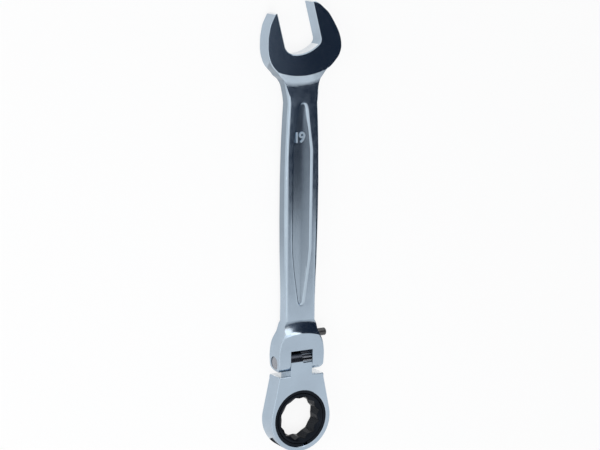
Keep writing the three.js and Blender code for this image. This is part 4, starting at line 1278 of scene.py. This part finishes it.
class WRENCH_OT_stage(bpy.types.Operator):
    """Sets up the camera, the floor, the lamps and the cards that the steel mirrors"""

    bl_idname = "wrench.stage"
    bl_label = "Stage"

    def execute(self, context):
        colours = context.scene.wrench_colours
        context.scene.view_settings.view_transform = "Standard"
        self.camera(context)
        self.floor(colours)
        self.world(context)
        self.lamps()
        self.screens()
        return {"FINISHED"}

    def camera(self, context):
        """The camera stands to the left of the wrench and above it, a little turned."""
        back = Vector((0.183951, 0.489981, 0.852103))
        right = Vector((0.013381, -0.868065, 0.496271))
        up = back.cross(right)
        data = bpy.data.cameras.new("camera")
        data.lens = 111.42
        data.sensor_width = 36
        data.shift_x = 0.002006
        data.shift_y = -0.028789
        data.clip_start = 0.05
        data.clip_end = 20
        camera = bpy.data.objects.new("camera", data)
        context.scene.collection.objects.link(camera)
        place = Matrix((right, up, back)).transposed().to_4x4()
        place.translation = Vector((0.1763454, 0.4409611, 0.7718931))
        camera.matrix_world = place
        context.scene.camera = camera

    def floor(self, colours):
        bpy.ops.object.select_all(action="DESELECT")
        bpy.ops.mesh.primitive_plane_add(size=8, location=(0, 0, -0.00005))
        floor = bpy.context.object
        floor.name = "floor"
        material, tree, shader = new_material("floor")
        shader.inputs["Base Color"].default_value = (*colours.floor, 1)
        shader.inputs["Roughness"].default_value = 0.9
        shader.inputs["Specular IOR Level"].default_value = 0.0
        white = add_node(tree, "ShaderNodeEmission")
        mix = add_node(tree, "ShaderNodeMixShader")
        path = add_node(tree, "ShaderNodeLightPath")
        seen = self.seen(tree, path)
        share = add_node(tree, "ShaderNodeMath", operation="MULTIPLY")
        share.inputs[1].default_value = 0.85
        gloss = add_node(tree, "ShaderNodeMath", operation="MULTIPLY_ADD")
        gloss.inputs[1].default_value = -0.3
        tree.links.new(path.outputs["Is Glossy Ray"], gloss.inputs[0])
        tree.links.new(seen.outputs[0], gloss.inputs[2])
        tree.links.new(gloss.outputs[0], share.inputs[0])
        tree.links.new(share.outputs[0], mix.inputs["Fac"])
        tree.links.new(shader.outputs["BSDF"], mix.inputs[1])
        tree.links.new(white.outputs["Emission"], mix.inputs[2])
        tree.links.new(mix.outputs["Shader"], tree.nodes["Material Output"].inputs["Surface"])
        floor.data.materials.append(material)

    def seen(self, tree, path):
        """One for what the camera sees, straight or in gloss or glass."""
        first = add_node(tree, "ShaderNodeMath", operation="MAXIMUM")
        second = add_node(tree, "ShaderNodeMath", operation="MAXIMUM")
        tree.links.new(path.outputs["Is Camera Ray"], first.inputs[0])
        tree.links.new(path.outputs["Is Glossy Ray"], first.inputs[1])
        tree.links.new(first.outputs[0], second.inputs[0])
        tree.links.new(path.outputs["Is Transmission Ray"], second.inputs[1])
        return second

    def world(self, context):
        world = bpy.data.worlds.new("studio")
        context.scene.world = world
        world.use_nodes = True
        tree = world.node_tree
        plain = tree.nodes["Background"]
        plain.inputs["Color"].default_value = (0.95, 0.97, 1, 1)
        plain.inputs["Strength"].default_value = 0.55
        white = add_node(tree, "ShaderNodeBackground")
        white.inputs["Color"].default_value = (1, 1, 1, 1)
        white.inputs["Strength"].default_value = 1
        mix = add_node(tree, "ShaderNodeMixShader")
        path = add_node(tree, "ShaderNodeLightPath")
        tree.links.new(self.seen(tree, path).outputs[0], mix.inputs["Fac"])
        tree.links.new(plain.outputs[0], mix.inputs[1])
        tree.links.new(white.outputs[0], mix.inputs[2])
        tree.links.new(mix.outputs[0], tree.nodes["World Output"].inputs["Surface"])

    def lamps(self):
        """A broad soft lamp above and a smaller one on the left."""
        for name, place, size, power in (
            ("lamp_above", (-0.35, 0.25, 0.9), 0.6, 4.0),
            ("lamp_left", (0.1, 0.9, 0.5), 0.4, 1.5),
        ):
            bpy.ops.object.select_all(action="DESELECT")
            bpy.ops.object.light_add(type="AREA", location=place)
            lamp = bpy.context.object
            lamp.name = name
            lamp.data.size = size
            lamp.data.energy = power
            lamp.visible_camera = False
            lamp.visible_glossy = False
            lamp.rotation_euler = (-Vector(place)).to_track_quat("-Z", "Y").to_euler()

    def screens(self):
        """Cards that the steel mirrors. The first four make a wall, and the others lie flat. The two on the
        floor, beside the shank and beside the head's rounded end, are painted shadow that only gloss sees.

        Each has its corners, two colours, the axis and the span over which the first turns into the
        second, and its height. On the wall a corner's second number is its height.
        """
        middle = (ring_centre.x, ring_centre.y)
        contact_shadow_outline = arc(middle, 0.0166, 133, 178, 12) + arc(middle, 0.0192, 178, 133, 12)
        upper_left = [(-0.17, 0.42), (-0.081, 0.42), (-0.096, 0.575), (-0.17, 0.575)]
        beside = [(-0.09, 0), (0.24, 0), (0.24, 0.575), (-0.096, 0.575), (-0.066, 0.25), (-0.09, 0.2)]
        right = [(0.242, 0.25), (0.8, 0.25), (0.8, 0.575), (0.242, 0.575)]
        top = [(0.05, 0.58), (0.6, 0.58), (0.6, 0.85), (0.05, 0.85)]
        floor_shadow_outline = [(-0.035, 0.008), (0.078, 0.008), (0.078, 0.03), (-0.035, 0.03)]
        lit = [(-1.2, 0.3), (0.8, 0.3), (0.8, 0.5), (-1.2, 0.5)]
        broad = [(-3.2, -3.05), (0.8, -3.05), (0.8, -0.45), (-3.2, -0.45)]
        for name, outline, first, second, along, span, height in (
            ("dark_screen", beside, (0.008, 0.018, 0.038), (0.11, 0.14, 0.19), "Z", (0.44, 0.57), None),
            ("side_screen", upper_left, (0.67, 0.685, 0.7), (0.35, 0.38, 0.41), "X", (-0.165, -0.085), None),
            ("right_screen", right, (1.9, 1.95, 2), None, None, None, None),
            ("top_screen", top, (1.7, 1.75, 1.8), None, None, None, None),
            # Painted shadow: a grey strip on the floor beside the shank, pale at its low-X end, which the
            # shank's left wall mirrors
            ("floor_strip", floor_shadow_outline, (0.95, 0.96, 0.97), (0.6, 0.61, 0.62), "X", (-0.035, 0), SHADOW_CARD_LIFT),
            # Painted shadow: a nearly black band on the floor round the head's end, which its lower edge
            # mirrors
            ("dark_gap", contact_shadow_outline, (0.01, 0.012, 0.018), None, None, None, SHADOW_CARD_LIFT),
            ("edge_light", lit, (1.9, 1.93, 1.96), None, None, None, 1.2),
            ("grey_screen", broad, (0.9, 0.915, 0.93), None, None, None, 1),
        ):
            card = self.card(name, outline, first, second, along, span)
            if height is None:
                turn(card, 90, "X")
                move(card, 0, CARD_WALL)
            else:
                move(card, 0, 0, height)

    def card(self, name, outline, first, second, along, span):
        """A shining card that only gloss sees, in one colour or shaded over a span of X or Z."""
        card = flat_face(name, outline)
        material, tree, shader = new_material(name)
        shader.inputs["Base Color"].default_value = (0, 0, 0, 1)
        shader.inputs["Specular IOR Level"].default_value = 0
        shader.inputs["Emission Strength"].default_value = 1
        shader.inputs["Emission Color"].default_value = (*first, 1)
        if second:
            place = add_node(tree, "ShaderNodeTexCoord")
            split = add_node(tree, "ShaderNodeSeparateXYZ")
            step = add_node(tree, "ShaderNodeMapRange")
            step.inputs["From Min"].default_value, step.inputs["From Max"].default_value = span
            ramp = add_node(tree, "ShaderNodeValToRGB")
            ramp.color_ramp.elements[0].color = (*first, 1)
            ramp.color_ramp.elements[1].color = (*second, 1)
            tree.links.new(place.outputs["Object"], split.inputs[0])
            tree.links.new(split.outputs[along], step.inputs["Value"])
            tree.links.new(step.outputs["Result"], ramp.inputs["Fac"])
            tree.links.new(ramp.outputs["Color"], shader.inputs["Emission Color"])
        card.data.materials.append(material)
        card.visible_camera = False
        card.visible_diffuse = False
        card.visible_transmission = False
        card.visible_shadow = False
        return card


class WRENCH_PT_panel(bpy.types.Panel):
    """Buttons for each piece and fields for the sizes and colours"""

    bl_label = "Ratchet wrench"
    bl_idname = "WRENCH_PT_panel"
    bl_space_type = "VIEW_3D"
    bl_region_type = "UI"
    bl_category = "Wrench"

    def draw(self, context):
        for step in OPERATORS:
            self.layout.operator(step.bl_idname)
        for place, kind in GROUPS.items():
            group = getattr(context.scene, place)
            box = self.layout.box()
            box.label(text=kind.__doc__)
            for name in kind.__annotations__:
                box.prop(group, name)


GROUPS = {
    "wrench_handle": WrenchHandleSizes,
    "wrench_head": WrenchHeadSizes,
    "wrench_lock": WrenchLockSizes,
    "wrench_colours": WrenchColours,
}
OPERATORS = (
    WRENCH_OT_stage, WRENCH_OT_handle, WRENCH_OT_size_mark, WRENCH_OT_pin, WRENCH_OT_lock, WRENCH_OT_head,
    WRENCH_OT_gear, WRENCH_OT_retaining_ring, WRENCH_OT_hidden_pieces,
)
CLASSES = (*GROUPS.values(), *OPERATORS, WRENCH_PT_panel)


def register():
    for one in CLASSES:
        bpy.utils.register_class(one)
    for name, group in GROUPS.items():
        setattr(bpy.types.Scene, name, PointerProperty(type=group))


def unregister():
    for name in GROUPS:
        delattr(bpy.types.Scene, name)
    for one in reversed(CLASSES):
        bpy.utils.unregister_class(one)


def main():
    register()
    bpy.ops.wrench.stage()
    bpy.ops.wrench.handle()
    bpy.ops.wrench.size_mark()
    bpy.ops.wrench.pin()
    bpy.ops.wrench.lock()
    bpy.ops.wrench.head()
    bpy.ops.wrench.gear()
    bpy.ops.wrench.retaining_ring()
    bpy.ops.wrench.hidden_pieces()


if __name__ == "__main__":
    main()
